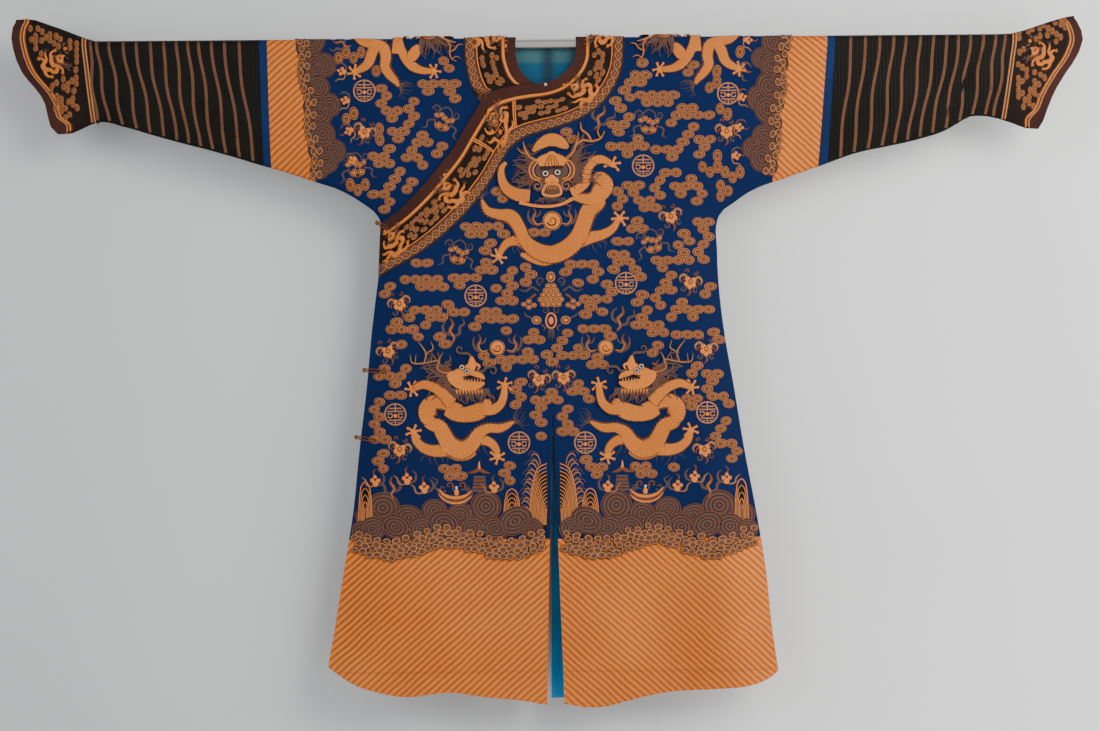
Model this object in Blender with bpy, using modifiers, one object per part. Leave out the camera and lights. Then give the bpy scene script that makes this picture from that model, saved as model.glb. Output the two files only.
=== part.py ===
"""A court robe of blue silk with dragons, hung flat on a rod through its sleeves.

Metres, +Z up. The origin is the middle of the rod's axis, where the rod is held. The robe's front
faces -Y and the rod runs along X. Left and right are the wearer's, so left is at +X.

Each piece of cloth starts as a flat pattern. Its two coordinates are x, along the rod, and q, the way
down the cloth from the shoulder line: below zero in front and above zero behind. The pattern is filled
with triangles, draped over the rod and given its thickness.
"""
import math

import bmesh
import bpy
import numpy as np
from mathutils import Vector, geometry
from mathutils.bvhtree import BVHTree

LEFT, RIGHT = 1, -1
FRONT, BACK = -1, 1

# Rod
ROD_RADIUS = 0.010
ROD_HALF_LENGTH = 0.900
ROD_SIDES = 24

# Cloth walls and the gaps between pieces
WALL = 0.0020
LINING_WALL = 0.0010
TRIM_WALL = 0.0012
SEAM_GAP = 0.0005
TRIM_LIFT = 0.0005
LINING_DROP = WALL + 0.0012
OVERLAP_LIFT = 0.0032

# Drape
SHOULDER_RADIUS = 0.0128
SHOULDER_STEPS = 3
FOLD = SHOULDER_RADIUS * math.pi / 2
EDGE_RADIUS = 0.005
EDGE_TAPER = 0.090
GRID = 0.052
OUTLINE_STEP = 0.060
CLEAR, TRIM_CLEAR = 0.022, 0.005
ROW_SNAP = 0.0024
CORNER_CLEAR = 0.004
FINE_STEP = 0.004

# Centre seam, vent and the free edge of the under front
SEAM_X = 0.005
VENT_TOP = -0.736
UNDER_FRONT_X = -0.014
UNDER_INSET = 0.004
UNDER_INSET_TOP = -0.355
UNDER_INSET_FULL = -0.430
UNDER_HEM_RISE = 0.008

# Collar: shares of its width, from the neck outwards
BINDING_SHARE = 0.21
BAND_SHARE = 0.77
COLLAR_STEP = 0.022
COLLAR_WIDTH = 0.100

# Cuff, and how far a seam line round the arm starts square to the lower seam
CUFF_BINDING_WIDTH = 0.017
SEAM_SQUARE = 0.016

# Lining
LINING_TOP = -0.006
LINING_HALF_WIDTH = 0.220
LINING_HEM_RISE = 0.010
LINING_VENT_INSET = 0.001
LINING_STEP = 0.052

# Lower outline of each half, from the hem corner to the armpit, the wrist and the cuff's tip:
# right x, right z, left x, left z
EDGE = (
    (0.448, -1.242, 0.452, -1.257),
    (0.435, -1.170, 0.440, -1.170),
    (0.415, -1.050, 0.428, -1.050),
    (0.395, -0.930, 0.409, -0.930),
    (0.382, -0.810, 0.387, -0.810),
    (0.367, -0.690, 0.368, -0.690),
    (0.355, -0.570, 0.348, -0.570),
    (0.342, -0.470, 0.338, -0.470),
    (0.334, -0.410, 0.336, -0.410),
    (0.335, -0.365, 0.335, -0.365),
    (0.340, -0.345, 0.340, -0.347),
    (0.350, -0.332, 0.350, -0.334),
    (0.366, -0.320, 0.368, -0.322),
    (0.390, -0.304, 0.390, -0.306),
    (0.420, -0.288, 0.420, -0.290),
    (0.465, -0.273, 0.465, -0.275),
    (0.515, -0.256, 0.515, -0.258),
    (0.554, -0.244, 0.539, -0.250),
    (0.569, -0.240, 0.558, -0.243),
    (0.620, -0.224, 0.620, -0.222),
    (0.675, -0.208, 0.675, -0.211),
    (0.735, -0.192, 0.735, -0.198),
    (0.795, -0.175, 0.795, -0.179),
    (0.830, -0.164, 0.820, -0.165),
    (0.856, -0.157, 0.844, -0.152),
    (0.880, -0.150, 0.868, -0.151),
    (0.902, -0.150, 0.904, -0.158),
    (0.928, -0.161, 0.928, -0.166),
    (0.952, -0.171, 0.955, -0.176),
    (0.980, -0.173, 0.980, -0.178),
)
# Rows of EDGE where the body cloth, the piping and the sleeve end
BODY_END, PIPING_END, SLEEVE_END = 17, 18, 26
# The row at the armpit, and the height above which the outline stays past it
ARMPIT_ROW = 10
ARM_BELOW = -0.310
# How far out those ends lie on the shoulder line: right x, left x
SHOULDER_ENDS = {BODY_END: (0.560, 0.559), PIPING_END: (0.5755, 0.5745), SLEEVE_END: (0.919, 0.927)}

# Open edge of the cuff, from its lower tip up: right x, right z, left x, left z
CUFF_MOUTH = (
    (0.980, -0.173, 0.980, -0.178),
    (0.994, -0.158, 0.990, -0.161),
    (0.999, -0.138, 0.998, -0.138),
    (1.004, -0.113, 1.008, -0.113),
    (1.012, -0.097, 1.016, -0.097),
    (1.024, -0.081, 1.026, -0.081),
    (1.038, -0.065, 1.036, -0.065),
    (1.050, -0.049, 1.048, -0.049),
    (1.061, -0.025, 1.062, -0.025),
    (1.068, 0.000, 1.070, 0.000),
    (1.071, 0.020, 1.067, 0.018),
    (1.068, 0.040, 1.058, 0.036),
)
CUFF_CORNER = (1.062, 1.053)

# Height of the shoulder line's outer face over the rod and along the cuff: x, right z, left z
SHOULDER_TOP = (
    (0.905, 0.0128, 0.0128),
    (0.928, 0.0205, 0.0140),
    (0.952, 0.0300, 0.0195),
    (0.976, 0.0394, 0.0275),
    (1.000, 0.0474, 0.0355),
    (1.020, 0.0555, 0.0415),
    (1.040, 0.0584, 0.0463),
    (1.062, 0.0570, 0.0495),
)
# Fold radius of the shoulder line: x, radius
SHOULDER_FOLD = ((0.905, SHOULDER_RADIUS), (0.950, 0.0105), (1.000, 0.0085), (1.070, 0.0080))

# Hems: x, z
FRONT_HEM = (
    (-0.448, -1.242), (-0.424, -1.259), (-0.400, -1.274), (-0.352, -1.290), (-0.300, -1.300),
    (-0.200, -1.293), (-0.140, -1.302), (-0.050, -1.311), (-0.011, -1.318), (0.023, -1.317),
    (0.070, -1.324), (0.100, -1.323), (0.160, -1.309), (0.220, -1.297), (0.340, -1.289),
    (0.388, -1.285), (0.436, -1.269), (0.452, -1.257),
)
BACK_HEM = (
    (-0.448, -1.242), (-0.400, -1.268), (-0.300, -1.290), (-0.150, -1.302), (-0.002, -1.310),
    (0.150, -1.303), (0.300, -1.291), (0.400, -1.276), (0.452, -1.257),
)
# Vent edges: z, left front, overlap, left back, right back
VENT = (
    (-0.736, 0.0050, 0.0050, 0.0050, 0.0050),
    (-1.000, 0.0130, -0.0030, 0.0010, -0.0100),
    (-1.330, 0.0242, -0.0112, -0.0030, -0.0240),
)
# Free edge of the under front: z, x
UNDER_EDGE = ((-0.085, UNDER_FRONT_X), (-0.736, UNDER_FRONT_X), (-1.330, -0.036))

# Neck edge and outer edge of the collar in front, from the left shoulder round to the side:
# neck x, neck z, outer x, outer z
COLLAR_OVER = (
    (0.057, -0.010, 0.153, -0.010),
    (0.056, -0.026, 0.151, -0.041),
    (0.049, -0.042, 0.138, -0.081),
    (0.035, -0.058, 0.111, -0.119),
    (0.018, -0.071, 0.070, -0.149),
    (-0.005, -0.079, 0.024, -0.167),
    (-0.040, -0.082, -0.014, -0.178),
    (-0.080, -0.087, -0.048, -0.190),
    (-0.106, -0.094, -0.063, -0.200),
    (-0.126, -0.106, -0.075, -0.210),
    (-0.139, -0.125, -0.083, -0.221),
    (-0.154, -0.149, -0.090, -0.233),
    (-0.170, -0.175, -0.098, -0.247),
    (-0.190, -0.209, -0.112, -0.271),
    (-0.223, -0.250, -0.140, -0.310),
    (-0.261, -0.294, -0.190, -0.364),
    (-0.300, -0.332, -0.256, -0.416),
    (-0.3365, -0.358, -0.3415, -0.464),
)
# The same edges behind, from the right shoulder to the left: neck x, neck q, outer x, outer q
COLLAR_BACK = (
    (-0.064, 0.000, -0.167, 0.000),
    (-0.062, 0.009, -0.165, 0.038),
    (-0.050, 0.017, -0.148, 0.078),
    (-0.028, 0.0212, -0.092, 0.112),
    (-0.003, 0.0222, -0.008, 0.123),
    (0.022, 0.0212, 0.078, 0.112),
    (0.044, 0.017, 0.134, 0.078),
    (0.055, 0.009, 0.151, 0.038),
    (0.057, 0.000, 0.153, 0.000),
)
# The under end of the collar, from where it passes under the overlap up to the right shoulder:
# neck x, neck z, outer x, outer z
COLLAR_UNDER = (
    (-0.035, -0.075, -0.148, -0.095),
    (-0.049, -0.062, -0.156, -0.079),
    (-0.059, -0.042, -0.162, -0.056),
    (-0.064, -0.022, -0.166, -0.032),
    (-0.064, -0.006, -0.167, -0.008),
)
UNDER_END_X = (-0.030, -0.134)
UNDER_END_GAP = 0.0008
BACK_NECK_Z = FOLD - 0.0222

# Soft folds that fall from the waist: x at the hem, half width, height in front, height behind
FOLDS = (
    (-0.370, 0.070, 0.003, 0.006),
    (-0.280, 0.075, 0.006, 0.001),
    (-0.125, 0.070, -0.003, 0.006),
    (-0.040, 0.065, 0.005, -0.002),
    (0.100, 0.075, 0.007, 0.004),
    (0.225, 0.070, -0.004, 0.006),
    (0.370, 0.075, 0.006, -0.002),
)
FOLDS_TOP, FOLDS_FULL = -0.50, -1.25
# Half depth that the body gains on its way down: z, depth
FULLNESS = ((-1.300, 0.012), (-0.900, 0.009), (-0.500, 0.006), (-0.100, 0.002), (0.000, 0.000))

# Ball buttons and their cord loops: name, x and z of the ball, x and z of the loop's far end
TOGGLES = (
    ("neck", -0.1395, -0.0960, -0.1240, -0.1080),
    ("underarm", -0.3425, -0.3560, -0.3240, -0.3640),
    ("side_upper", -0.3705, -0.6490, -0.3260, -0.6530),
    ("side_lower", -0.3880, -0.7830, -0.3470, -0.7910),
)
BALL_RADIUS = 0.0046
BALL_STEPS = 10
SHANK_RADIUS = 0.0012
SHANK_LENGTH = 0.0085
CORD_RADIUS = 0.0013
CORD_SPREAD = 0.0029
CORD_GAP = 0.0003
RAY_START = 0.5


def new_object(name, data, colour):
    obj = bpy.data.objects.new(name, data)
    robe.objects.link(obj)
    data.materials.append(colour)
    return obj


def material(name, colour, roughness, metallic=0.0):
    made = bpy.data.materials.new(name)
    made.use_nodes = True
    shader = made.node_tree.nodes["Principled BSDF"]
    shader.inputs["Base Color"].default_value = (*colour, 1.0)
    shader.inputs["Roughness"].default_value = roughness
    shader.inputs["Metallic"].default_value = metallic
    return made


def smooth(value):
    value = np.clip(value, 0.0, 1.0)
    return value * value * (3.0 - 2.0 * value)


def spline(points, step):
    """Points about one step apart on a smooth curve through the given ones, which it keeps."""
    knots = np.array(points, float)
    along = np.concatenate(([0.0], np.cumsum(np.linalg.norm(np.diff(knots, axis=0), axis=1))))
    slopes = np.gradient(knots, along, axis=0)
    made = []
    for i in range(len(knots) - 1):
        span = along[i + 1] - along[i]
        count = max(1, math.ceil(span / step - 0.2))
        for t in np.arange(count) / count:
            made.append(
                (2 * t**3 - 3 * t**2 + 1) * knots[i]
                + (t**3 - 2 * t**2 + t) * span * slopes[i]
                + (3 * t**2 - 2 * t**3) * knots[i + 1]
                + (t**3 - t**2) * span * slopes[i + 1]
            )
    made.append(knots[-1])
    return np.array(made)


def of_side(rows, side):
    """The x and z columns of one side of a table of both, with x signed."""
    column = 2 if side == LEFT else 0
    return [(side * row[column], row[column + 1]) for row in rows]


def shoulder_radius(x):
    return np.interp(np.abs(x), *zip(*SHOULDER_FOLD))


def shoulder_centre(x):
    """Height of the axis that the shoulder line folds over."""
    reach, right, left = zip(*SHOULDER_TOP)
    top = np.where(np.asarray(x) > 0, np.interp(np.abs(x), reach, left), np.interp(np.abs(x), reach, right))
    return top - shoulder_radius(x)


def flat(points, face):
    """Points x, z of the hanging front or back as points x, q of the pattern."""
    points = np.asarray(points, float)
    drop = shoulder_centre(points[:, 0]) - points[:, 1]
    return np.column_stack((points[:, 0], face * (FOLD + drop)))


def fullness(x, z, face):
    """What the body's half depth gains below the shoulder, with its soft folds."""
    heights, depths = zip(*FULLNESS)
    side = EDGE[:ARMPIT_ROW]
    spread = np.interp(z, [row[1] for row in side], [row[0] for row in side]) / side[0][0]
    total = np.interp(z, heights, depths)
    fall = smooth((FOLDS_TOP - z) / (FOLDS_TOP - FOLDS_FULL))
    for place, width, front, behind in FOLDS:
        height = np.where(face < 0, front, behind)
        total = total + fall * height * np.exp(-(((x - place * spread) / width) ** 2))
    return total


def overlap_edge(x):
    """Height of the overlap's top edge at x."""
    curve = spline([row[:2] for row in COLLAR_OVER], FINE_STEP)
    curve = curve[curve[:, 0] < COLLAR_OVER[3][0]][::-1]
    return np.interp(x, curve[:, 0], curve[:, 1])


def overlap_lift(x, z, face):
    """How far the overlap, and the left front beside its seam, stand out from the under front."""
    over = np.where(x > SEAM_X, 1.0, z < overlap_edge(x) + UNDER_END_GAP / 2)
    ramp = smooth((0.110 - x) / 0.090) * smooth((-0.020 - z) / 0.045)
    return OVERLAP_LIFT * ramp * over * (face < 0)


def edge_curve(side, inset=0.0):
    """The lower outline of one half, drawn in below the armpit by an inset."""
    curve = spline(of_side(EDGE, side), OUTLINE_STEP)
    drawn = inset * smooth((UNDER_INSET_TOP - curve[:, 1]) / (UNDER_INSET_TOP - UNDER_INSET_FULL))
    curve[:, 0] -= side * drawn
    return curve


def distance(points, path):
    """Distance from each point to the nearest stretch of a path."""
    starts, spans = path[:-1], np.diff(path, axis=0)
    offsets = points[:, None, :] - starts[None]
    share = np.clip((offsets * spans).sum(2) / (spans**2).sum(1), 0.0, 1.0)
    return np.linalg.norm(offsets - share[..., None] * spans, axis=2).min(1)


def drape(points, edge, over=True, rounded=True):
    """Pattern points as points of the hanging cloth's outer face."""
    x, q = points[:, 0], points[:, 1]
    face = np.where(q < 0, FRONT, BACK)
    radius = shoulder_radius(x)
    angle = np.clip(q / FOLD, -1.0, 1.0) * math.pi / 2
    z = shoulder_centre(x) + radius * np.cos(angle) - np.maximum(np.abs(q) - FOLD, 0.0)
    half = radius + fullness(x, z, face)
    gap = distance(np.column_stack((x, z)), edge)
    rise = np.sin(np.clip((gap - EDGE_RADIUS) / EDGE_TAPER, 0.0, 1.0) * math.pi / 2)
    depth = EDGE_RADIUS + (half - EDGE_RADIUS) * rise
    if rounded:
        turn = np.sqrt(np.maximum(EDGE_RADIUS**2 - (EDGE_RADIUS - np.minimum(gap, EDGE_RADIUS)) ** 2, 0.0))
        depth = np.where(gap < EDGE_RADIUS, turn, depth)
    if over:
        depth = depth + overlap_lift(x, z, face)
    y = np.where(np.abs(q) < FOLD, radius * np.sin(angle), face * depth)
    return np.column_stack((x, y, z))


def inside(points, outline):
    """Which points lie inside a closed outline."""
    nexts = np.roll(outline, -1, axis=0)
    x, y = points[:, 0:1], points[:, 1:2]
    crosses = (outline[:, 1] > y) != (nexts[:, 1] > y)
    rise = np.where(nexts[:, 1] == outline[:, 1], 1.0, nexts[:, 1] - outline[:, 1])
    at = outline[:, 0] + (y - outline[:, 1]) / rise * (nexts[:, 0] - outline[:, 0])
    return (crosses & (x < at)).sum(1) % 2 == 1


def snapped(outline):
    """An outline whose points close to a bend line of the shoulder are put onto it."""
    made = np.array(outline)
    rows = np.arange(-SHOULDER_STEPS, SHOULDER_STEPS + 1) * FOLD / SHOULDER_STEPS
    nearest = rows[np.abs(made[:, 1:2] - rows).argmin(1)]
    close = np.abs(made[:, 1] - nearest) < ROW_SNAP
    made[close, 1] = nearest[close]
    return made


def shoulder_rows(outline):
    """Lines along the shoulder where the cloth bends over the rod."""
    low, high = outline[:, 0].min() - GRID, outline[:, 0].max() + GRID
    across = np.linspace(low, high, math.ceil((high - low) / GRID))
    rows = []
    for k in range(-SHOULDER_STEPS, SHOULDER_STEPS + 1):
        q = FOLD * k / SHOULDER_STEPS
        if outline[:, 1].min() < q < outline[:, 1].max():
            rows.append(np.column_stack((across, np.full(len(across), q))))
    return rows


def turned_rows(edge, side, faces=(FRONT, BACK)):
    """Lines beside the side seam and the sleeve seam where the cloth turns to the other face."""
    along = np.gradient(edge, axis=0)
    normal = np.column_stack((-along[:, 1], along[:, 0])) / np.linalg.norm(along, axis=1)[:, None]
    rows = []
    for share in (1 - math.cos(math.pi / 4), 1.0):
        row = edge + side * normal * EDGE_RADIUS * share
        first, last = row[0] - (row[1] - row[0]), row[-1] + (row[-1] - row[-2])
        row = np.vstack((first, row, last))
        rows += [flat(row, face) for face in faces]
    return rows


def triangles(outline, lines, clear):
    """Fills an outline with triangles that keep to its lines; returns points and faces."""
    columns = np.arange(math.floor(outline[:, 0].min() / GRID), math.ceil(outline[:, 0].max() / GRID) + 1)
    height = GRID * math.sqrt(3) / 2
    rows = np.arange(math.floor(outline[:, 1].min() / height), math.ceil(outline[:, 1].max() / height) + 1)
    grid = np.array([((c + 0.5 * (r % 2)) * GRID, r * height) for r in rows for c in columns])
    closed = np.vstack((outline, outline[:1]))
    grid = grid[inside(grid, outline)]
    keep = distance(grid, closed) > clear
    for line in lines:
        keep &= distance(grid, line) > clear
    grid = grid[keep]
    points = [outline] + list(lines) + [grid]
    starts = np.cumsum([0] + [len(part) for part in points])
    edges = []
    for start, line in zip(starts[1:], lines):
        edges += [(int(start + i), int(start + i + 1)) for i in range(len(line) - 1)]
    flat_points = [Vector((float(x), float(y))) for x, y in np.vstack(points)]
    loop = [list(range(len(outline)))]
    made = geometry.delaunay_2d_cdt(flat_points, edges, loop, 0, 1e-7)
    faces = [face for face, owners in zip(made[2], made[5]) if owners]
    return np.array([tuple(point) for point in made[0]]), faces


def cloth(name, outline, lines, colour, edge, wall=WALL, lift=0.0, over=True, rounded=True, clear=CLEAR):
    """One piece of cloth from its pattern: filled, draped, moved out by lift and given its wall."""
    outline = snapped(outline)
    nexts = np.roll(outline, -1, axis=0)
    if (outline[:, 0] * nexts[:, 1] - outline[:, 1] * nexts[:, 0]).sum() < 0:
        outline = outline[::-1]
    points, faces = triangles(outline, lines, clear)
    placed = drape(points, edge, over, rounded)
    mesh = bpy.data.meshes.new(name)
    mesh.from_pydata([tuple(point) for point in placed], [], [tuple(face) for face in faces])
    shape = bmesh.new()
    shape.from_mesh(mesh)
    loose = [vert for vert in shape.verts if not vert.link_faces]
    bmesh.ops.delete(shape, geom=loose, context="VERTS")
    bmesh.ops.remove_doubles(shape, verts=shape.verts, dist=0.0001)
    shape.normal_update()
    for vert in shape.verts:
        vert.co += vert.normal * lift
    shape.to_mesh(mesh)
    shape.free()
    obj = new_object(name, mesh, colour)
    thick = obj.modifiers.new("wall", "SOLIDIFY")
    thick.thickness = wall
    thick.offset = 1.0 if lift > 0 else -1.0
    thick.use_even_offset = True
    return obj


def across(side, row, shift):
    """The line round the sleeve at a row of EDGE, from the seam in front over the shoulder to behind."""
    end = of_side(EDGE, side)[row]
    top = side * SHOULDER_ENDS[row][0 if side == RIGHT else 1]
    down = np.linspace(1.0, 0.0, 6)
    front = np.column_stack((top + (end[0] - top) * down, end[1] * down))
    front = flat(front, FRONT)
    centre = np.array([(top, 0.0)])
    line = np.vstack((front, centre, (front * (1, -1))[::-1]))
    line[:, 0] += shift * side
    return line


def body_part(edge, side):
    """The stretch of an edge curve from the hem corner to the piping."""
    stop = of_side(EDGE, side)[BODY_END]
    return edge[:int(np.argmin(np.linalg.norm(edge - stop, axis=1))) + 1]


def band(edge, side, inner, outer):
    """The pattern of a tube round the arm between two lines that run front to back."""
    low, high = sorted((abs(inner[0][0]), abs(outer[0][0])))
    reach = np.abs(edge[:, 0])
    between = edge[(reach > low + CORNER_CLEAR) & (reach < high - CORNER_CLEAR) & (edge[:, 1] > ARM_BELOW)]
    return np.vstack((flat(between, FRONT), outer, flat(between, BACK)[::-1], inner[::-1]))


def on_edge(line, edge):
    """A line whose two ends are put back onto the seam after a sideways shift."""
    line = np.array(line)
    arm = edge[edge[:, 1] > ARM_BELOW]
    z = np.interp(abs(line[0, 0]), np.abs(arm[:, 0]), arm[:, 1])
    ends = np.array([(line[0, 0], z)])
    line[0] = flat(ends, FRONT)[0]
    line[-1] = flat(ends, BACK)[0]
    return line


def mouth(edge, side, shift):
    """The cuff's open edge drawn in along the arm, from the seam in front over the top to behind."""
    front = spline(of_side(CUFF_MOUTH, side), 0.03)
    corner = side * (CUFF_CORNER[0 if side == RIGHT else 1] - shift)
    if shift:
        front[:, 0] -= side * shift
        arm = edge[edge[:, 1] > ARM_BELOW]
        foot = np.interp(abs(front[0, 0]), np.abs(arm[:, 0]), arm[:, 1])
        upper = front[front[:, 1] > foot + SEAM_SQUARE + CORNER_CLEAR]
        front = np.vstack(([front[0, 0], foot], [front[0, 0], foot + SEAM_SQUARE], upper))
    front = flat(front, FRONT)
    fold_rows = [(corner, FOLD * k / SHOULDER_STEPS) for k in range(1 - SHOULDER_STEPS, SHOULDER_STEPS)]
    return np.vstack((front, fold_rows, (front * (1, -1))[::-1]))


def straight(start, stop, step):
    """Points about one step apart on a straight line."""
    count = math.ceil(math.dist(start, stop) / step)
    return np.linspace(start, stop, count + 1)


def hem(table, low, high, rise=0.0):
    """Points of a hem between two x, from low to high."""
    xs, zs = spline(table, 0.01).T
    inner = np.linspace(low, high, max(3, math.ceil(abs(high - low) / OUTLINE_STEP) + 1))
    return np.column_stack((inner, np.interp(inner, xs, zs) + rise))


def upright(column, bottom, shift=0.0, top=VENT_TOP):
    """An edge of the vent, from its top down to a hem height; column picks the row of VENT."""
    heights = [row[0] for row in VENT][::-1]
    places = [row[column] for row in VENT][::-1]
    z = np.linspace(top, bottom, math.ceil((top - bottom) / 0.10) + 1)
    return np.column_stack((np.interp(z, heights, places) + shift, z))


def seam(top, x, face):
    """The centre seam from a height down to just above the vent."""
    z = np.linspace(top, VENT_TOP, 9)[:-1]
    return flat(np.column_stack((np.full(len(z), x), z)), face)


def neck_front(limit):
    """The neck edge in front from the left shoulder to the seam."""
    curve = spline([(row[0], row[1]) for row in COLLAR_OVER], COLLAR_STEP)
    return curve[curve[:, 0] > limit + CORNER_CLEAR]


def build_body_left():
    """Left front, left back and upper sleeve in one cut, without a shoulder seam."""
    edge = edge_curve(LEFT)
    x = SEAM_X + SEAM_GAP / 2
    front_hem = hem(FRONT_HEM, VENT[-1][1] - SEAM_GAP, EDGE[0][2])
    back_hem = hem(BACK_HEM, VENT[-1][3], EDGE[0][2])
    body_edge = body_part(edge, LEFT)
    end = across(LEFT, BODY_END, 0.0)
    back_neck = spline([row[:2] for row in COLLAR_BACK], COLLAR_STEP)
    back_neck = back_neck[back_neck[:, 0] > x + CORNER_CLEAR]
    outline = np.vstack((
        flat(front_hem[:-1], FRONT),
        flat(body_edge[:-1], FRONT),
        end,
        flat(body_edge[:-1], BACK)[::-1],
        flat(back_hem[1:-1], BACK)[::-1],
        flat(upright(3, back_hem[0, 1], SEAM_GAP / 2), BACK)[::-1],
        seam(BACK_NECK_Z, x, BACK)[::-1],
        back_neck,
        flat(neck_front(x), FRONT),
        seam(overlap_edge(x), x, FRONT),
        flat(upright(1, front_hem[0, 1], SEAM_GAP / 2)[:-1], FRONT),
    ))
    lines = shoulder_rows(outline) + turned_rows(body_edge, LEFT)
    return cloth("body_left", outline, lines, blue_silk, edge)


def build_body_right():
    """Right back, under front and upper sleeve in one cut."""
    edge = edge_curve(RIGHT, UNDER_INSET)
    x = SEAM_X - SEAM_GAP / 2
    body_edge = body_part(edge, RIGHT)
    end = across(RIGHT, BODY_END, 0.0)
    front_hem = hem(FRONT_HEM, body_edge[0, 0], UNDER_EDGE[-1][1], UNDER_HEM_RISE)
    front_hem[0] = body_edge[0]
    back_hem = hem(BACK_HEM, body_edge[0, 0], VENT[-1][4])
    heights, places = zip(*UNDER_EDGE[::-1])
    free_z = straight(front_hem[-1], (UNDER_FRONT_X, UNDER_EDGE[0][0]), OUTLINE_STEP)[1:, 1]
    free = np.column_stack((np.interp(free_z, heights, places), free_z))
    under_neck = spline([(row[0], row[1]) for row in COLLAR_UNDER], COLLAR_STEP)
    back_neck = spline([row[:2] for row in COLLAR_BACK], COLLAR_STEP)
    back_neck = back_neck[back_neck[:, 0] < x - CORNER_CLEAR]
    outline = np.vstack((
        flat(front_hem, FRONT),
        flat(free, FRONT),
        flat(under_neck, FRONT),
        back_neck,
        seam(BACK_NECK_Z, x, BACK),
        flat(upright(4, back_hem[-1, 1], -SEAM_GAP / 2), BACK),
        flat(back_hem[1:-1], BACK)[::-1],
        flat(body_edge[:-1], BACK),
        end[::-1],
        flat(body_edge[1:-1], FRONT)[::-1],
    ))
    lines = shoulder_rows(outline) + turned_rows(body_edge, RIGHT)
    return cloth("body_right", outline, lines, blue_silk, edge, over=False)


def build_overlap():
    """The overlap that crosses to the wearer's right side, from the centre seam to its free edge."""
    edge = edge_curve(RIGHT)
    x = SEAM_X - SEAM_GAP / 2
    side = edge[edge[:, 1] < COLLAR_OVER[-1][1] - 2 * CORNER_CLEAR]
    side = np.vstack((side, [COLLAR_OVER[-1][:2]]))
    top = spline([(row[0], row[1]) for row in COLLAR_OVER], COLLAR_STEP)
    top = top[top[:, 0] < x - CORNER_CLEAR][::-1]
    bottom = hem(FRONT_HEM, side[0, 0], VENT[-1][2])
    outline = np.vstack((
        flat(bottom[:-1], FRONT),
        flat(upright(2, bottom[-1, 1], -SEAM_GAP / 2), FRONT)[::-1],
        seam(overlap_edge(x), x, FRONT)[::-1],
        flat(top[::-1], FRONT),
        flat(side[1:-1], FRONT)[::-1],
    ))
    shares = (BINDING_SHARE, BAND_SHARE, 1.0)
    lines = [spline(flat(mixed(COLLAR_OVER[2:], share), FRONT), COLLAR_STEP) for share in shares]
    return cloth("front_overlap", outline, lines, blue_silk, edge, rounded=False)


def build_lining(side):
    """The lining of one back, which shows inside the neck and through the vent."""
    inset = UNDER_INSET if side == RIGHT else 0.0
    edge = edge_curve(side, inset)
    x = SEAM_X + side * SEAM_GAP / 2
    reach = side * LINING_HALF_WIDTH
    column = 3 if side == LEFT else 4
    vent_x = VENT[-1][column] + side * LINING_VENT_INSET
    bottom = hem(BACK_HEM, vent_x, reach, LINING_HEM_RISE)
    sides = straight((reach, bottom[-1, 1]), (reach, LINING_TOP), LINING_STEP)
    top = straight((reach, LINING_TOP), (x, LINING_TOP), LINING_STEP)
    centre = straight((x, LINING_TOP), (x, VENT_TOP), LINING_STEP)
    outline = np.vstack((
        flat(bottom, BACK),
        flat(sides[1:-1], BACK),
        flat(top, BACK),
        flat(centre[1:-1], BACK),
        flat(upright(column, bottom[0, 1], side * LINING_VENT_INSET)[:-1], BACK),
    ))
    name = "lining_left" if side == LEFT else "lining_right"
    return cloth(name, outline, [], teal_silk, edge, wall=LINING_WALL, lift=-LINING_DROP)


def build_sleeve_parts(side):
    """The piping, the ribbed lower sleeve, the hoof cuff and its binding."""
    edge = edge_curve(side)
    word = "left" if side == LEFT else "right"
    gap = SEAM_GAP
    body_end = on_edge(across(side, BODY_END, gap), edge)
    piping_end = across(side, PIPING_END, 0.0)
    sleeve_start = on_edge(across(side, PIPING_END, gap), edge)
    sleeve_end = across(side, SLEEVE_END, 0.0)
    cuff_start = on_edge(across(side, SLEEVE_END, gap), edge)
    cuff_end = mouth(edge, side, CUFF_BINDING_WIDTH + 2 * gap)
    binding_start = mouth(edge, side, CUFF_BINDING_WIDTH)
    mouth_line = mouth(edge, side, 0.0)
    pieces = (
        ("piping_" + word, body_end, piping_end, piping_silk),
        ("sleeve_" + word, sleeve_start, sleeve_end, black_silk),
        ("cuff_" + word, cuff_start, cuff_end, black_silk),
        ("cuff_binding_" + word, binding_start, mouth_line, brown_silk),
    )
    for name, inner, outer, colour in pieces:
        outline = band(edge, side, inner, outer)
        reach = np.abs(edge[:, 0])
        reached = (reach > abs(inner[0, 0]) - COLLAR_STEP) & (reach < abs(outer[0, 0]) + COLLAR_STEP)
        near = edge[reached & (edge[:, 1] > ARM_BELOW)]
        lines = shoulder_rows(outline) + turned_rows(near, side)
        cloth(name, outline, lines, colour, edge)


def mixed(rows, share):
    """Points at a share of the way between the two edges that a table of the collar gives."""
    return [(row[0] + share * (row[2] - row[0]), row[1] + share * (row[3] - row[1])) for row in rows]


def collar_side(share):
    """One line along the whole collar, at a share of its width, from its under end to the side."""
    end_x = UNDER_END_X[0] + share * (UNDER_END_X[1] - UNDER_END_X[0])
    end = [(end_x, float(overlap_edge(end_x)) + UNDER_END_GAP)]
    under = flat(end + mixed(COLLAR_UNDER, share), FRONT)
    over = flat(mixed(COLLAR_OVER, share), FRONT)
    return spline(np.vstack((under, mixed(COLLAR_BACK, share), over)), COLLAR_STEP)


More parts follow.
